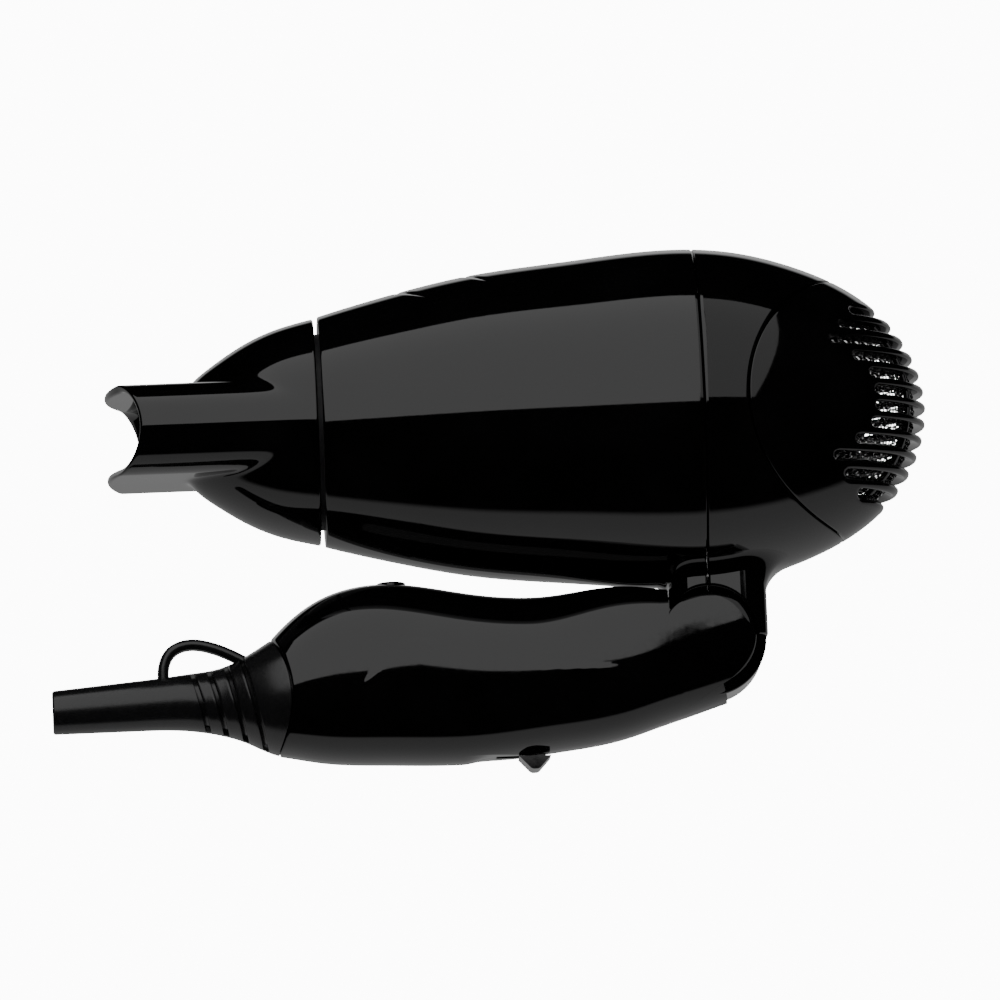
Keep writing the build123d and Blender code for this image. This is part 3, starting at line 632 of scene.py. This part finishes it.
def neck_path(side_end, wall_x, count):
    """Half of the neck's rounded rectangle, from one split edge around a wall to the other split edge."""
    towards = 1 if wall_x > side_end else -1
    corner_x = wall_x - towards * NECK_CORNER
    flat = NECK_HALF - NECK_CORNER
    points = [(x, -NECK_HALF, 0, -1) for x in spread(side_end, corner_x, count)]
    for a in spread(-90, 0, count)[1:]:
        dx, dy = towards * cos(radians(a)), sin(radians(a))
        points.append((corner_x + NECK_CORNER * dx, -flat + NECK_CORNER * dy, dx, dy))
    points += [(wall_x, y, towards, 0) for y in spread(-flat, 0, 8)[1:]]
    mirrored = [(x, -y, dx, -dy) for x, y, dx, dy in reversed(points[:-1])]
    return points + mirrored


def blend_centre(x, y, dx, dy, radius):
    """Centre of a ball that touches both the neck's wall and the barrel."""
    cx, cy = x + radius * dx, y + radius * dy
    sx, sy = cx, cy
    for _ in range(12):
        z, n = barrel_underside(sx, sy)
        sx, sy = cx - n.x * radius, cy - n.y * radius
    return Vector((cx, cy, z + n.z * radius)), n


def neck(name, side_end, wall_x):
    """One half of the neck, blended into the barrel, with a lining as far in as the knuckle."""
    outer = []
    inner = []
    for x, y, dx, dy in neck_path(side_end, wall_x, 16):
        radius = NECK_BLEND + (NECK_BLEND_REAR - NECK_BLEND) * max(dx, 0.0) ** 2
        radius += (NECK_BLEND_FRONT - NECK_BLEND) * min(dx, 0.0) ** 2
        centre, n = blend_centre(x, y, dx, dy, radius)
        bottom = neck_bottom(x)
        split = edge_round(abs(x - side_end), SEAM_ROUND)
        inner_x, inner_y = x - dx * WALL, y - dy * (NECK_HALF - KNUCKLE_HALF)
        shift = neck_bottom(inner_x) - bottom
        skin = []
        lining = []
        for z, _ in with_edges(bottom, centre.z, 14, NECK_EDGE):
            inset = max(edge_round(z - bottom, NECK_EDGE), split)
            skin.append((x - dx * inset, y - dy * inset, z))
            lining.append((inner_x, inner_y, z + shift))
        start = Vector((-dx, -dy, 0))
        for k in range(1, BLEND_STEPS + 1):
            direction = start.slerp(-n, k / BLEND_STEPS)
            place = centre + direction * radius
            skin.append(tuple(place + direction * split))
            lining.append((inner_x, inner_y, place.z + 3))
        foot = centre - n * radius
        sink_x, sink_y = foot.x + dx * 1.5, foot.y + dy * 1.5
        skin.append((sink_x, sink_y, barrel_underside(sink_x, sink_y)[0] + 0.25))
        lining.append((inner_x, inner_y, place.z + 4))
        outer.append(skin)
        inner.append(lining)
    return shell_mesh(name, outer, inner)


def drum_half(name, first, last):
    """Half of the knuckle, between two angles seen from the left side."""
    def point(row, a):
        y, edge = row
        r = KNUCKLE_R - edge_round(edge, KNUCKLE_ROUND)
        skin = (PIVOT_X + r * cos(a), y, PIVOT_Z + r * sin(a))
        return skin, (PIVOT_X + HINGE_BORE * cos(a), y, PIVOT_Z + HINGE_BORE * sin(a))

    rows = with_edges(-KNUCKLE_HALF, KNUCKLE_HALF, 8, KNUCKLE_ROUND)
    return shell_mesh(name, *grids(rows, spread(radians(first), radians(last), 72), point))


def join(name, pieces):
    """Several meshes as one piece."""
    bpy.ops.object.select_all(action="DESELECT")
    for piece in pieces:
        piece.select_set(True)
    bpy.context.view_layer.objects.active = pieces[0]
    bpy.ops.object.join()
    pieces[0].name = name
    pieces[0].data.name = name
    return pieces[0]


def place_piece(piece, body, slot, *nodes):
    """Puts a finished piece on its body, in place of the nodes it stands for."""
    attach(piece, body)
    if nodes:
        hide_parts(*nodes)


def screen_point(y, z, under):
    """A place under the cap's surface at a spot seen from behind, and the surface's normal there."""
    x, r, nx, nr = outline_at(t_of_r(hypot(y, z)))
    r = max(r, 1e-6)
    normal = Vector((nx, nr * y / r, nr * z / r))
    return Vector((x, y, AXIS_Z + z)) - normal * under, normal


def woven_screen():
    """The fine wire cloth behind the fins: two sets of wires that pass over and under each other."""
    points = []
    faces = []
    last = int(SCREEN_REACH / WEAVE_PITCH)
    for upright in (True, False):
        for k in range(-last, last + 1):
            half = sqrt(SCREEN_REACH ** 2 - (k * WEAVE_PITCH) ** 2)
            count = int(half * 4 / WEAVE_PITCH) + 3
            first = len(points)
            for s in spread(-half, half, count):
                y, z = (k * WEAVE_PITCH, s) if upright else (s, k * WEAVE_PITCH)
                wave = cos(pi * (s / WEAVE_PITCH + k)) * (1 if upright else -1)
                centre, normal = screen_point(y, z, SCREEN_UNDER + WEAVE_WIRE * 0.5 * wave)
                run = Vector((0, 0, 1)) if upright else Vector((0, 1, 0))
                side = run.cross(normal).normalized()
                for offset in (normal, side, -normal, -side):
                    points.append(centre + offset * WEAVE_WIRE / 2)
            faces.append((first, first + 1, first + 2, first + 3))
            for step in range(count - 1):
                base = first + step * 4
                for corner in range(4):
                    beside = (corner + 1) % 4
                    faces.append((base + beside, base + corner, base + corner + 4, base + beside + 4))
            end = first + (count - 1) * 4
            faces.append((end + 3, end + 2, end + 1, end))
    screen = add_object("woven_screen", closed_mesh("woven_screen", points, faces))
    screen.data.materials.append(WIRE)
    smooth(screen, 50)
    return screen


def build_barrel():
    front = [front_barrel(), neck("front_neck", SPLIT_X - SEAM, NECK_FRONT), drum_half("front_drum", 91, 269)]
    place_piece(join("front_shell", front), "barrel", "gloss_shell", "front_housing")
    rear = [rear_barrel(), neck("rear_neck", SPLIT_X + SEAM, NECK_REAR), drum_half("rear_drum", -89.5, 89.5)]
    place_piece(join("rear_shell", rear), "barrel", "gloss_shell", "rear_housing")
    place_piece(join("intake_grille", intake_cap()), "cap", "gloss_shell", "intake_cap")
    place_piece(woven_screen(), "cap", "screen_wire", "lint_screen")


# ---------------- concentrator
DOME = [(-37.4, 25.0), (-45.9, 22.8), (-52.7, 19.8), (-59.5, 15.5), (-64.5, 11.2), (-68.0, 0.0)]
DOME_CREASE = 0.9  # how softly the duct grows out of the dome
NOZZLE_RIM = -36.9
NOZZLE_SPAN = 46.0  # rows are spaced over this length, and then stretched
NOZZLE_WALL = 1.7
LEAST_WALL = 1.2
LIP_ROUND = 0.75
LIP_MIDDLE = 0.8
DUCT_TIP = -83.3
DUCT_HALF_WIDTH = 25.0
DUCT_HALF_HEIGHT = 10.0
MOUTH_DEPTH = 8.0  # of the curve that is cut out of the duct's end, seen from the side

DOME_LINE, _ = smooth_line(list(reversed(DOME)))


def dome_radius(x, inset):
    """Radius of the dome less an inset, or 0 in front of it."""
    if x + inset * 0.6 < DOME_LINE[0, 0]:
        return 0.0
    return max(float(np.interp(x, DOME_LINE[:, 0], DOME_LINE[:, 1])) - inset, 0.0)


def duct_radius(c, s, inset):
    """Distance from the axis to the round-ended duct, in a direction around the axis."""
    height = DUCT_HALF_HEIGHT - inset
    flat = DUCT_HALF_WIDTH - DUCT_HALF_HEIGHT
    c, s = abs(c), abs(s)
    if s > 1e-6 and height / s * c <= flat:
        return height / s
    return flat * c + sqrt(max(height ** 2 - (flat * s) ** 2, 0.0))


def soft_max(a, b, k):
    """The larger of two numbers, blended where they are nearly equal."""
    return (a + b + sqrt((a - b) ** 2 + k * k)) / 2


def build_concentrator():
    mouth_r = (DUCT_HALF_WIDTH ** 2 + MOUTH_DEPTH ** 2) / (2 * MOUTH_DEPTH)

    def point(share, direction):
        c, s = direction
        y = duct_radius(c, s, LIP_MIDDLE) * c
        mouth = DUCT_TIP + mouth_r - sqrt(mouth_r ** 2 - y * y)
        length = NOZZLE_RIM - mouth
        x = mouth + length * share
        run = share * length
        lip = edge_round(run, LIP_ROUND)
        rim = edge_round(length - run, RIM_ROUND)
        r = soft_max(duct_radius(c, s, 0), dome_radius(x, 0), DOME_CREASE) - DOME_CREASE * 0.1
        r_in = soft_max(duct_radius(c, s, NOZZLE_WALL), dome_radius(x, NOZZLE_WALL), DOME_CREASE)
        r_in = min(r_in, r - LEAST_WALL) + lip * 0.9
        r = r - lip - rim
        return (x, r * c, AXIS_Z + r * s), (x, r_in * c, AXIS_Z + r_in * s)

    shares = [distance / NOZZLE_SPAN for distance, _ in with_edges(0, NOZZLE_SPAN, 130, LIP_ROUND)]
    nozzle = shell_mesh("nozzle_shell", *grids(shares, around(360), point), wrap=True)
    place_piece(nozzle, "nozzle", "gloss_shell", "concentrator")


# ---------------- handle
HANDLE = [(-56.0, 6.6, 22.5, 10.6), (-48.0, 5.4, 31.9, 13.7), (-38.0, 3.5, 39.4, 15.7),
          (-24.6, 2.55, 42.3, 16.5), (-6.0, 2.1, 39.6, 16.4), (12.0, 3.8, 38.2, 16.0),
          (28.0, 6.25, 39.5, 15.5), (36.0, 8.7, 38.5, 15.2), (46.0, 11.7, 36.0, 14.8),
          (60.0, 16.0, 32.0, 14.4)]        # place, bottom, top and half width
LOWER_POWER = 2.4  # squareness of the section's lower half
HANDLE_END_X = -68.9  # the handle ends in an arc around this place
HANDLE_END_Z = 17.3
HANDLE_END_R = 24.1
GRIP_SPAN = 94.2  # rows are spaced over this length, and then stretched
GRIP_END = 38.2  # the grip stops here above the hinge
END_SLOPE = 0.277  # lean of the handle's lower end face
END_FOOT_Z = 13.1  # about where that face meets the handle's underside
CHEEK_TOP = 32.2  # where the cheek's circle leaves the grip
CHEEK_FOOT = 16.87  # where it meets the end face
CHEEK_INNER = 9.1
CHEEK_ROUND = 1.3
CHEEK_LIFT = 4.0
KNOB_POCKET = (-4.5, 16.0, 6.5, 3.2)  # front, rear, half width and floor
POCKET_RAMP = 3.5
KNOB_SLOT = [(-0.4, -1.9), (10.4, -1.9), (10.4, 1.9), (-0.4, 1.9)]
BUTTON_X = -22.0
BUTTON_HOLE = (3.5, 4.5)
SCREW_HOLE = 2.7
HANDLE_SCREWS_AT = [(-31.0, 27.0), (24.0, 17.0)]
SWOOSH = [(-30.8, 17.4), (-24.8, 23.4), (-17.9, 28.2), (-9.0, 25.3), (-0.2, 23.1), (16.3, 21.2),
          (33.0, 20.2)]
SWOOSH_LIFT = 0.13
SWOOSH_REACH = 12.0
SIDE_RISE = 8.0  # how far the widest line climbs towards the hinge


def read(curve, x):
    """A curve's height at a place."""
    return float(np.interp(x, curve[:, 0], curve[:, 1]))


def ease(value, low, high):
    """A smooth step from 0 to 1."""
    t = min(max((value - low) / (high - low), 0.0), 1.0)
    return t * t * (3 - 2 * t)


def signed_power(value, power):
    return abs(value) ** power * (1 if value >= 0 else -1)


HANDLE_CURVES = [smooth_line([(s[0], s[k]) for s in HANDLE], samples=800)[0] for k in (1, 2, 3)]
CHEEK_LOW = read(HANDLE_CURVES[0], PIVOT_X + (PIVOT_Z - END_FOOT_Z) * END_SLOPE)
SWOOSH_LINE, SWOOSH_ALONG = smooth_line(SWOOSH, samples=400)


def handle_section(x):
    """Bottom, middle, top, half-width and the upper half's power at a place along the handle."""
    low, high, half = [read(c, x) for c in HANDLE_CURVES]
    middle = (low + high) / 2 + SIDE_RISE * ease(x, 26, 62)
    lift = CHEEK_LIFT * ease(x, GRIP_END - 2, 50)
    return low, middle, high + lift, half, LOWER_POWER + 1.8 * ease(x, 8, 44)


def handle_half_width(x, z):
    """How wide the handle is on one side, at a place seen from the side."""
    low, middle, high, half, power = handle_section(x)
    if z < middle:
        power = LOWER_POWER
    share = abs(z - middle) / ((high - middle) if z > middle else (middle - low))
    return half * max(1 - min(share, 1.0) ** power, 0.0) ** (1 / power)


def handle_ring(x, angle):
    """A point of the section, from the bottom (-90 degrees) over the side to the top (90 degrees)."""
    low, middle, high, half, power = handle_section(x)
    c, s = max(cos(angle), 0.0), sin(angle)
    if s < 0:
        power = LOWER_POWER
    rise = (high - middle) if s > 0 else (middle - low)
    return half * c ** (2 / power), middle + rise * signed_power(s, 2 / power)


def cheek_edge(share):
    """The cheek's outline, from the grip's corner over the hinge and down to the handle's lower corner."""
    start = atan2(CHEEK_TOP - PIVOT_Z, GRIP_END - PIVOT_X)
    end = atan2(CHEEK_FOOT - PIVOT_Z, (PIVOT_Z - CHEEK_FOOT) * END_SLOPE)
    turn = start - end
    tail = hypot(CHEEK_FOOT - CHEEK_LOW, (CHEEK_FOOT - CHEEK_LOW) * END_SLOPE)
    reach = share * (CHEEK_R * turn + tail)
    if reach <= CHEEK_R * turn:
        a = start - reach / CHEEK_R
        return PIVOT_X + CHEEK_R * cos(a), PIVOT_Z + CHEEK_R * sin(a)
    z = CHEEK_FOOT - (reach - CHEEK_R * turn) / hypot(1, END_SLOPE)
    return PIVOT_X + (PIVOT_Z - z) * END_SLOPE, z


def swoosh_lift(x, z):
    """Height of the raised leaf on the grip's side."""
    gap = SWOOSH_LINE - np.array([x, z])
    distance = np.hypot(gap[:, 0], gap[:, 1])
    k = int(np.argmin(distance))
    nearest = float(distance[k])
    if nearest > SWOOSH_REACH:
        return 0.0
    along = SWOOSH_ALONG[k]
    inside = along[0] * gap[k][1] - along[1] * gap[k][0]
    fade = ease(k, 0, 25) * (1 - 0.5 * ease(k, 90, 300)) * (1 - ease(k, 340, 399))
    height = SWOOSH_LIFT * fade * ease(inside, -0.4, 0.4)
    return height * (1 - ease(nearest, 1.0, SWOOSH_REACH))


def grip_stations():
    """Distances along the grip from its curved end, closer together at both ends and at the pocket."""
    near = [s * 0.5 for s in EDGE_STEPS]
    places = near + spread(0.8, GRIP_SPAN - 0.8, 260) + [GRIP_SPAN - n for n in reversed(near)]
    pocket = KNOB_POCKET[0] - HANDLE[0][0]
    extra = [pocket + d for d in (-0.45, -0.3, -0.15, 0, 0.15, 0.3)]
    return sorted(places + extra)


def end_arc_x(angle):
    """Where a line along the grip starts, at its curved end."""
    x = -50.0
    for _ in range(16):
        z = handle_ring(x, angle)[1]
        x = (x + HANDLE_END_X + sqrt(max((HANDLE_END_R + SEAM) ** 2 - (z - HANDLE_END_Z) ** 2, 0.0))) / 2
    return x


def ring_angles():
    """Angles around half of the handle's section, closer together where the halves meet."""
    seam = [89.2, 89.5, 89.75]
    even = [-90 + 180 * k / 140 for k in range(141)]
    return [radians(a) for a in sorted(even + seam + [-a for a in seam])]


def pocket_z(x, y, z):
    """Height of a point of the underside, once the switch knob's pocket is pressed in."""
    front, rear, half, floor_z = KNOB_POCKET
    if z < floor_z and front - POCKET_RAMP < x < rear and y < half + 0.3:
        depth = ease(x, front - POCKET_RAMP, front + 4) * (1 - ease(y, half - 0.2, half + 0.2))
        z += (floor_z - z) * depth
    return z


def grip_point(x, angle, run):
    """Skin and lining of the grip, on the side of positive Y, at a distance from its curved end."""
    y, z = handle_ring(x, angle)
    rounding = max(edge_round(run, SEAM_ROUND), edge_round(y, 0.25))
    lift = swoosh_lift(x, z) if y > 6 else 0.0
    grow = 1 + (lift - rounding) / 16
    low, middle, high, half, _ = handle_section(x)
    skin = (x, y * grow, pocket_z(x, y * grow, middle + (z - middle) * grow))
    inner_y = y * (1 - WALL / half)
    if inner_y > CHEEK_INNER:
        inner_y += (CHEEK_INNER - inner_y) * ease(x, 31, 34.5)
    return skin, (x, inner_y, middle + (z - middle) * (1 - WALL * 2 / (high - low)))


def cheek_point(k, start_z, share, v):
    """Skin and lining of the cheek, on the side of positive Y, between the grip's end and the edge."""
    edge_x, edge_z = cheek_edge(share)
    x = GRIP_END + (edge_x - GRIP_END) * v
    z = start_z + (edge_z - start_z) * v
    reach = (1 - v) * hypot(edge_x - GRIP_END, edge_z - start_z)
    keep = ease(k, 0, 12)
    y = handle_half_width(x, z) if k else 0.0
    y -= edge_round(reach, CHEEK_ROUND) * keep
    return (x, y, z), (x, max(min(CHEEK_INNER, y - 0.2), 0.0), z + 1.2 * (1 - keep))


def handle_half(name, side):
    """One moulded half of the handle, with its cheek."""
    ring = ring_angles()
    starts = [end_arc_x(a) for a in ring]
    stations = grip_stations()

    def point(distance, column):
        a, start = column
        x = start + (GRIP_END - start) * (distance / stations[-1])
        return grip_point(x, a, x - start)

    outer, inner = grids(stations, list(zip(ring, starts)), point)
    grip_z = [handle_ring(GRIP_END, a)[1] for a in ring]
    top = max(k for k, z in enumerate(grip_z) if z <= CHEEK_TOP)
    end_skin, end_lining = outer[-1], inner[-1]
    for v, _ in with_edges(0, 1, 28, 0.11)[1:]:
        points = [cheek_point(k, grip_z[k], (top - k) / top, v) for k in range(top)]
        outer.append([skin for skin, _ in points] + end_skin[top:])
        inner.append([lining for _, lining in points] + end_lining[top:])
    for grid in (outer, inner):
        for row in grid:
            row[:] = [(x, y * side, z) for x, y, z in row]
    return shell_mesh(name, outer, inner)


def cut(piece, cutter):
    """Cuts one closed mesh out of another."""
    modifier = piece.modifiers.new("cut", "BOOLEAN")
    modifier.operation = "DIFFERENCE"
    modifier.solver = "EXACT"
    modifier.object = cutter
    bpy.context.view_layer.objects.active = piece
    bpy.ops.object.modifier_apply(modifier=modifier.name)
    bpy.data.objects.remove(cutter)
    smooth(piece)


def plug(outline, start, end, axis):
    """A closed prism along Y or Z with a given outline, to cut a hole with."""
    points = [(u, v, level) if axis == "Z" else (u, level, v) for level in (start, end) for u, v in outline]
    count = len(outline)
    faces = [(k, (k + 1) % count, count + (k + 1) % count, count + k) for k in range(count)]
    faces += [range(count), range(count, 2 * count)]
    return add_object("plug", closed_mesh("plug", points, faces))


def oval(u, v, half_u, half_v, steps=64):
    """An ellipse's outline."""
    return [(u + half_u * c, v + half_v * s) for c, s in around(steps)]


def build_handle():
    """Both halves, with holes for the cool-shot button, the switch knob and the right side's screws."""
    for side, name in ((-1, "left"), (1, "right")):
        half = handle_half(f"grip_{name}", side)
        cut(half, plug(oval(BUTTON_X, 0, *BUTTON_HOLE), 34, 50, "Z"))
        cut(half, plug(KNOB_SLOT, -2, 7, "Z"))
        if side > 0:
            for x, z in HANDLE_SCREWS_AT:
                cut(half, plug(oval(x, z, SCREW_HOLE, SCREW_HOLE, 40), 10.0, 20.0, "Y"))
        half.name = f"handle_{name}_skin"
        place_piece(half, "handle", "gloss_shell", f"handle_{name}_shell")


# ---------------- boot
BOOT = [(-97.3, 12.05, 21.65, 4.8), (-75.6, 12.1, 23.4, 5.6), (-66.8, 11.6, 24.3, 6.3),
        (-60.0, 10.3, 25.3, 8.2), (-55.0, 8.6, 27.4, 10.5), (-50.0, 6.2, 30.3, 12.9),
        (-43.0, 4.3, 34.5, 15.0)]          # place, bottom, top and half width
BOOT_TIP = BOOT[0][0]
BOOT_POWER = 2.1
BORE_R = 3.4
BORE_Z = 16.85
BORE_TILT = 1.7  # degrees
BORE_CHAMFER = 0.4
GROOVES = [-64.9, -61.2, -57.3, -53.5]
GROOVE_WIDTH = 1.0
GROOVE_DEPTH = 1.0
GROOVE_Z = 18.0  # the height at which a groove is at its own place
GROOVE_LEAN = -13.0  # degrees
SPINE_HALF = 1.6  # the grooves stop at a spine above and below
LIP_REACH = 6.0  # times 0.6: how far the lip goes inside the handle
LIP_INSET = 2.2
BOOT_CURVES = [smooth_line([(s[0], s[k]) for s in BOOT[1:]], start=(1, slope), samples=600)[0]
               for k, slope in ((1, 0.002), (2, 0.08), (3, 0.037))]
LOOP = [(-72.4, 20.5), (-72.7, 25.0), (-71.0, 29.0), (-67.4, 30.6), (-62.8, 30.1), (-57.8, 28.1),
        (-52.4, 25.0)]
LOOP_HALF_WIDTH = 2.2
LOOP_HALF_THICK = 1.25


def boot_section(x):
    """Bottom, top and half width of the boot: a straight stem, and a flare behind it."""
    tip, stem = BOOT[0], BOOT[1]
    if x < stem[0]:
        share = (x - tip[0]) / (stem[0] - tip[0])
        return [tip[k] + (stem[k] - tip[k]) * share for k in (1, 2, 3)]
    return [read(c, x) for c in BOOT_CURVES]


def boot_point(x, c, s, inset):
    """Side and height of the boot's skin in a direction, under the surface by the inset."""
    low, high, half = boot_section(x)
    y = (half - inset) * signed_power(c, 2 / BOOT_POWER)
    z = ((high - low) / 2 - inset) * signed_power(s, 2 / BOOT_POWER)
    return y, (low + high) / 2 + z


def groove_rows():
    """Places along the boot, with how deep each lies in a groove."""
    rows = [(BOOT_TIP + s * 0.6, 0.0) for s in EDGE_STEPS] + [(x, 0.0) for x in spread(-96.0, -68.2, 44)]
    half = GROOVE_WIDTH / 2
    wall = [(half + 0.28, 0.0), (half + 0.1, 0.06), (half, 0.25), (half - 0.03, 1.0)]
    for index, x in enumerate(GROOVES):
        rows += [(x - away, depth) for away, depth in wall]
        rows.append((x, 1.0))
        rows += [(x + away, depth) for away, depth in reversed(wall)]
        if index < len(GROOVES) - 1:
            rows += [(v, 0.0) for v in spread(x + half + 0.6, GROOVES[index + 1] - half - 0.6, 5)]
    return rows


def boot_rows():
    """Place, groove depth and share of the way to the handle's arc. Past 1 a row is in the inner lip."""
    rows = [(x, depth, 0.0) for x, depth in groove_rows()]
    last = rows[-1][0]
    rows += [(last, 0.0, s) for s, _ in with_edges(0, 1, 16, 0.06)[1:]]
    return rows + [(last, 0.0, 1.001), (last, 0.0, 1.6)]


def boot_x(place, share, c, s):
    """Where a row lies in a direction: upright on the stem, leaning further on, at last on the arc."""
    lean = tan(radians(GROOVE_LEAN))
    weight = ease(place, -80, -69)
    x = place
    for _ in range(10):
        z = boot_point(x, c, s, 0)[1]
        along = place + (z - GROOVE_Z) * lean * weight
        if share:
            arc = sqrt(max((HANDLE_END_R - SEAM) ** 2 - (z - HANDLE_END_Z) ** 2, 0.0))
            left = max(HANDLE_END_X + arc, along + 0.3) - along
            along += left * min(share, 1.0) + max(share - 1.0, 0.0) * LIP_REACH
        x = (x + along) / 2
    return x


def build_boot():
    def point(row, direction):
        place, depth, share = row
        c, s = direction
        x = boot_x(place, share, c, s)
        side = abs(boot_point(x, c, s, 0)[0])
        shallow = ease(side, SPINE_HALF - 0.15, SPINE_HALF + 0.15)
        inset = depth * GROOVE_DEPTH * shallow + edge_round(place - BOOT_TIP, 0.6)
        if share > 1:
            inset += LIP_INSET
        elif share:
            inset += edge_round((1 - share) * 5, 0.25)
        bore_z = BORE_Z + (x - BOOT_TIP) * sin(radians(BORE_TILT))
        mouth = BORE_R + BORE_CHAMFER - min(place - BOOT_TIP, BORE_CHAMFER)
        return (x, *boot_point(x, c, s, inset)), (x, mouth * c, bore_z + mouth * s)

    body = shell_mesh("boot_body", *grids(boot_rows(), around(160), point), wrap=True, material=RUBBER)
    place_piece(join("cord_boot_rubber", [body, boot_loop()]), "handle", "boot_rubber", "cord_boot")


def boot_loop():
    """The hanging loop: a rounded strap bent over the boot."""
    def point(row, direction):
        (x, z), (ax, az) = row
        across = LOOP_HALF_WIDTH * signed_power(direction[0], 0.7)
        up = LOOP_HALF_THICK * signed_power(direction[1], 0.85)
        return [(x - az * up * share, across * share, z + ax * up * share) for share in (1, 0.1)]

    rows = list(zip(*smooth_line(LOOP, samples=90)))
    return shell_mesh("boot_loop", *grids(rows, around(28), point), wrap=True, material=RUBBER)


# ---------------- stage
CAMERA_YAW = -2.0  # degrees
CAMERA_RISE = -7.5
CAMERA_ROLL = -2.45
CAMERA_DISTANCE = 2.9  # metres, as everything on the stage
VIEW_WIDTH = 0.2200
VIEW_TARGET = (0.0028, 0.0, 0.0602)
SOFTBOX_RISE = 44  # degrees above the horizon
SOFTBOX_DISTANCE = 1.2
SOFTBOX_TARGET = (0, 0, 0.07)
SOFTBOXES = [("main_softbox", -1.1, 0.235, 2.02, 1.45), ("side_softbox", 0.24, 0.80, 1.85, 0.85)]
ROOM_LEVEL = 0.9  # what lights the rough surfaces from all around
SEEN_WHITE = 12.0
FAR_EDGE = (0.54, 0.66)  # where the mirrored room turns from dark to bright, away from the camera
BACKDROP_TILT = 0.44
FLOOR_TILT = 0.44
FAR_LEVEL = 0.35
BELOW_LEVEL = 0.62
ABOVE_LEVEL = 0.75
FLOOR_HALF = 3.0
FLOOR_LEVEL = -0.12  # low enough for the open handle


def camera():
    """Long lens, nearly square to the barrel and a little below it, rolled as the object leans."""
    data = bpy.data.cameras.new("camera")
    data.sensor_width = 36
    data.lens = data.sensor_width * CAMERA_DISTANCE / VIEW_WIDTH
    data.clip_end = 20
    cam = add_object("camera", data)
    azimuth = radians(CAMERA_YAW)
    rise = radians(CAMERA_RISE)
    away = Vector((sin(azimuth) * cos(rise), -cos(azimuth) * cos(rise), sin(rise)))
    cam.location = Vector(VIEW_TARGET) + away * CAMERA_DISTANCE
    look = (-away).to_track_quat("-Z", "Y")
    roll = Matrix.Rotation(radians(CAMERA_ROLL), 4, away)
    cam.rotation_euler = (roll @ look.to_matrix().to_4x4()).to_euler()
    bpy.context.scene.camera = cam


def softbox(name, left, right, height, radiance):
    """A rectangular soft light in front and above. All of them lie in one plane that faces the dryer."""
    data = bpy.data.lights.new(name, "AREA")
    data.shape = "RECTANGLE"
    data.size = right - left
    data.size_y = height
    data.energy = radiance * pi * (right - left) * height
    lamp = add_object(name, data)
    away = Vector((0, -cos(radians(SOFTBOX_RISE)), sin(radians(SOFTBOX_RISE)))).normalized()
    side = Vector((0, 0, 1)).cross(away).normalized()
    turn = Matrix((side, away.cross(side), away)).transposed().to_4x4()
    lamp.matrix_world = Matrix.Translation(Vector(SOFTBOX_TARGET) + away * SOFTBOX_DISTANCE) @ turn
    lamp.location.x += (left + right) / 2
    lamp.visible_camera = False


def studio_world():
    """White to the eye, even light on rough surfaces, and in the gloss a bright far side and a dark front."""
    world = bpy.data.worlds.new("studio")
    world.use_nodes = True
    bpy.context.scene.world = world
    world.node_tree.nodes.clear()
    m = Nodes(world.node_tree)
    place = m.add("ShaderNodeSeparateXYZ", m.add("ShaderNodeTexCoord").outputs["Generated"])
    z = place.outputs["Z"]
    depth = m.math("SUBTRACT", place.outputs["Y"], m.math("MULTIPLY", z, BACKDROP_TILT))
    far = m.math("SUBTRACT", depth, m.math("MULTIPLY", m.math("MINIMUM", z, 0.0), FLOOR_TILT))
    side = m.ramp(far, 0.0, 1.0, *FAR_EDGE, "SMOOTHSTEP")
    below = m.ramp(z, FAR_LEVEL, BELOW_LEVEL, -0.25, -1.0, "SMOOTHSTEP")
    above = m.ramp(z, FAR_LEVEL, ABOVE_LEVEL, 0.0, 0.5, "SMOOTHSTEP")
    bright = m.math("MULTIPLY", side, m.math("MAXIMUM", below, above))
    white = (1, 1, 1, 1)
    mirrored = m.add("ShaderNodeBackground", None, bright, Color=white)
    lit = m.add("ShaderNodeBackground", Color=white, Strength=ROOM_LEVEL)
    seen = m.add("ShaderNodeBackground", Color=white, Strength=SEEN_WHITE)
    path = m.add("ShaderNodeLightPath")
    hidden = m.add("ShaderNodeMixShader", path.outputs["Is Glossy Ray"], lit.outputs[0], mirrored.outputs[0])
    shown = m.add("ShaderNodeMixShader", path.outputs["Is Camera Ray"], hidden.outputs[0], seen.outputs[0])
    m.add("ShaderNodeOutputWorld", shown.outputs[0])


def floor():
    """A pale floor, clear from below, where the camera looks up at it."""
    mesh = bpy.data.meshes.new("floor")
    corners = [(-1, -1), (1, -1), (1, 1), (-1, 1)]
    mesh.from_pydata([(x * FLOOR_HALF, y * FLOOR_HALF, FLOOR_LEVEL) for x, y in corners], [], [(0, 1, 2, 3)])
    m = Material("pale_floor")
    m.set(Base_Color=(0.9, 0.9, 0.9, 1), Roughness=0.7)
    faces = m.add("ShaderNodeNewGeometry")
    clear = m.add("ShaderNodeBsdfTransparent")
    mix = m.add("ShaderNodeMixShader", faces.outputs["Backfacing"], m.shader.outputs[0], clear.outputs[0])
    m.link(mix.outputs[0], m.tree.nodes["Material Output"].inputs["Surface"])
    mesh.materials.append(m.material)
    obj = add_object("floor", mesh)
    obj.visible_glossy = False


def studio():
    """Plain soft studio light: a wide softbox in front and above, and a weaker one beside it."""
    studio_world()
    floor()
    for box in SOFTBOXES:
        softbox(*box)


finish_cad_nodes()
build_barrel()
build_concentrator()
build_handle()
build_boot()
camera()
studio()
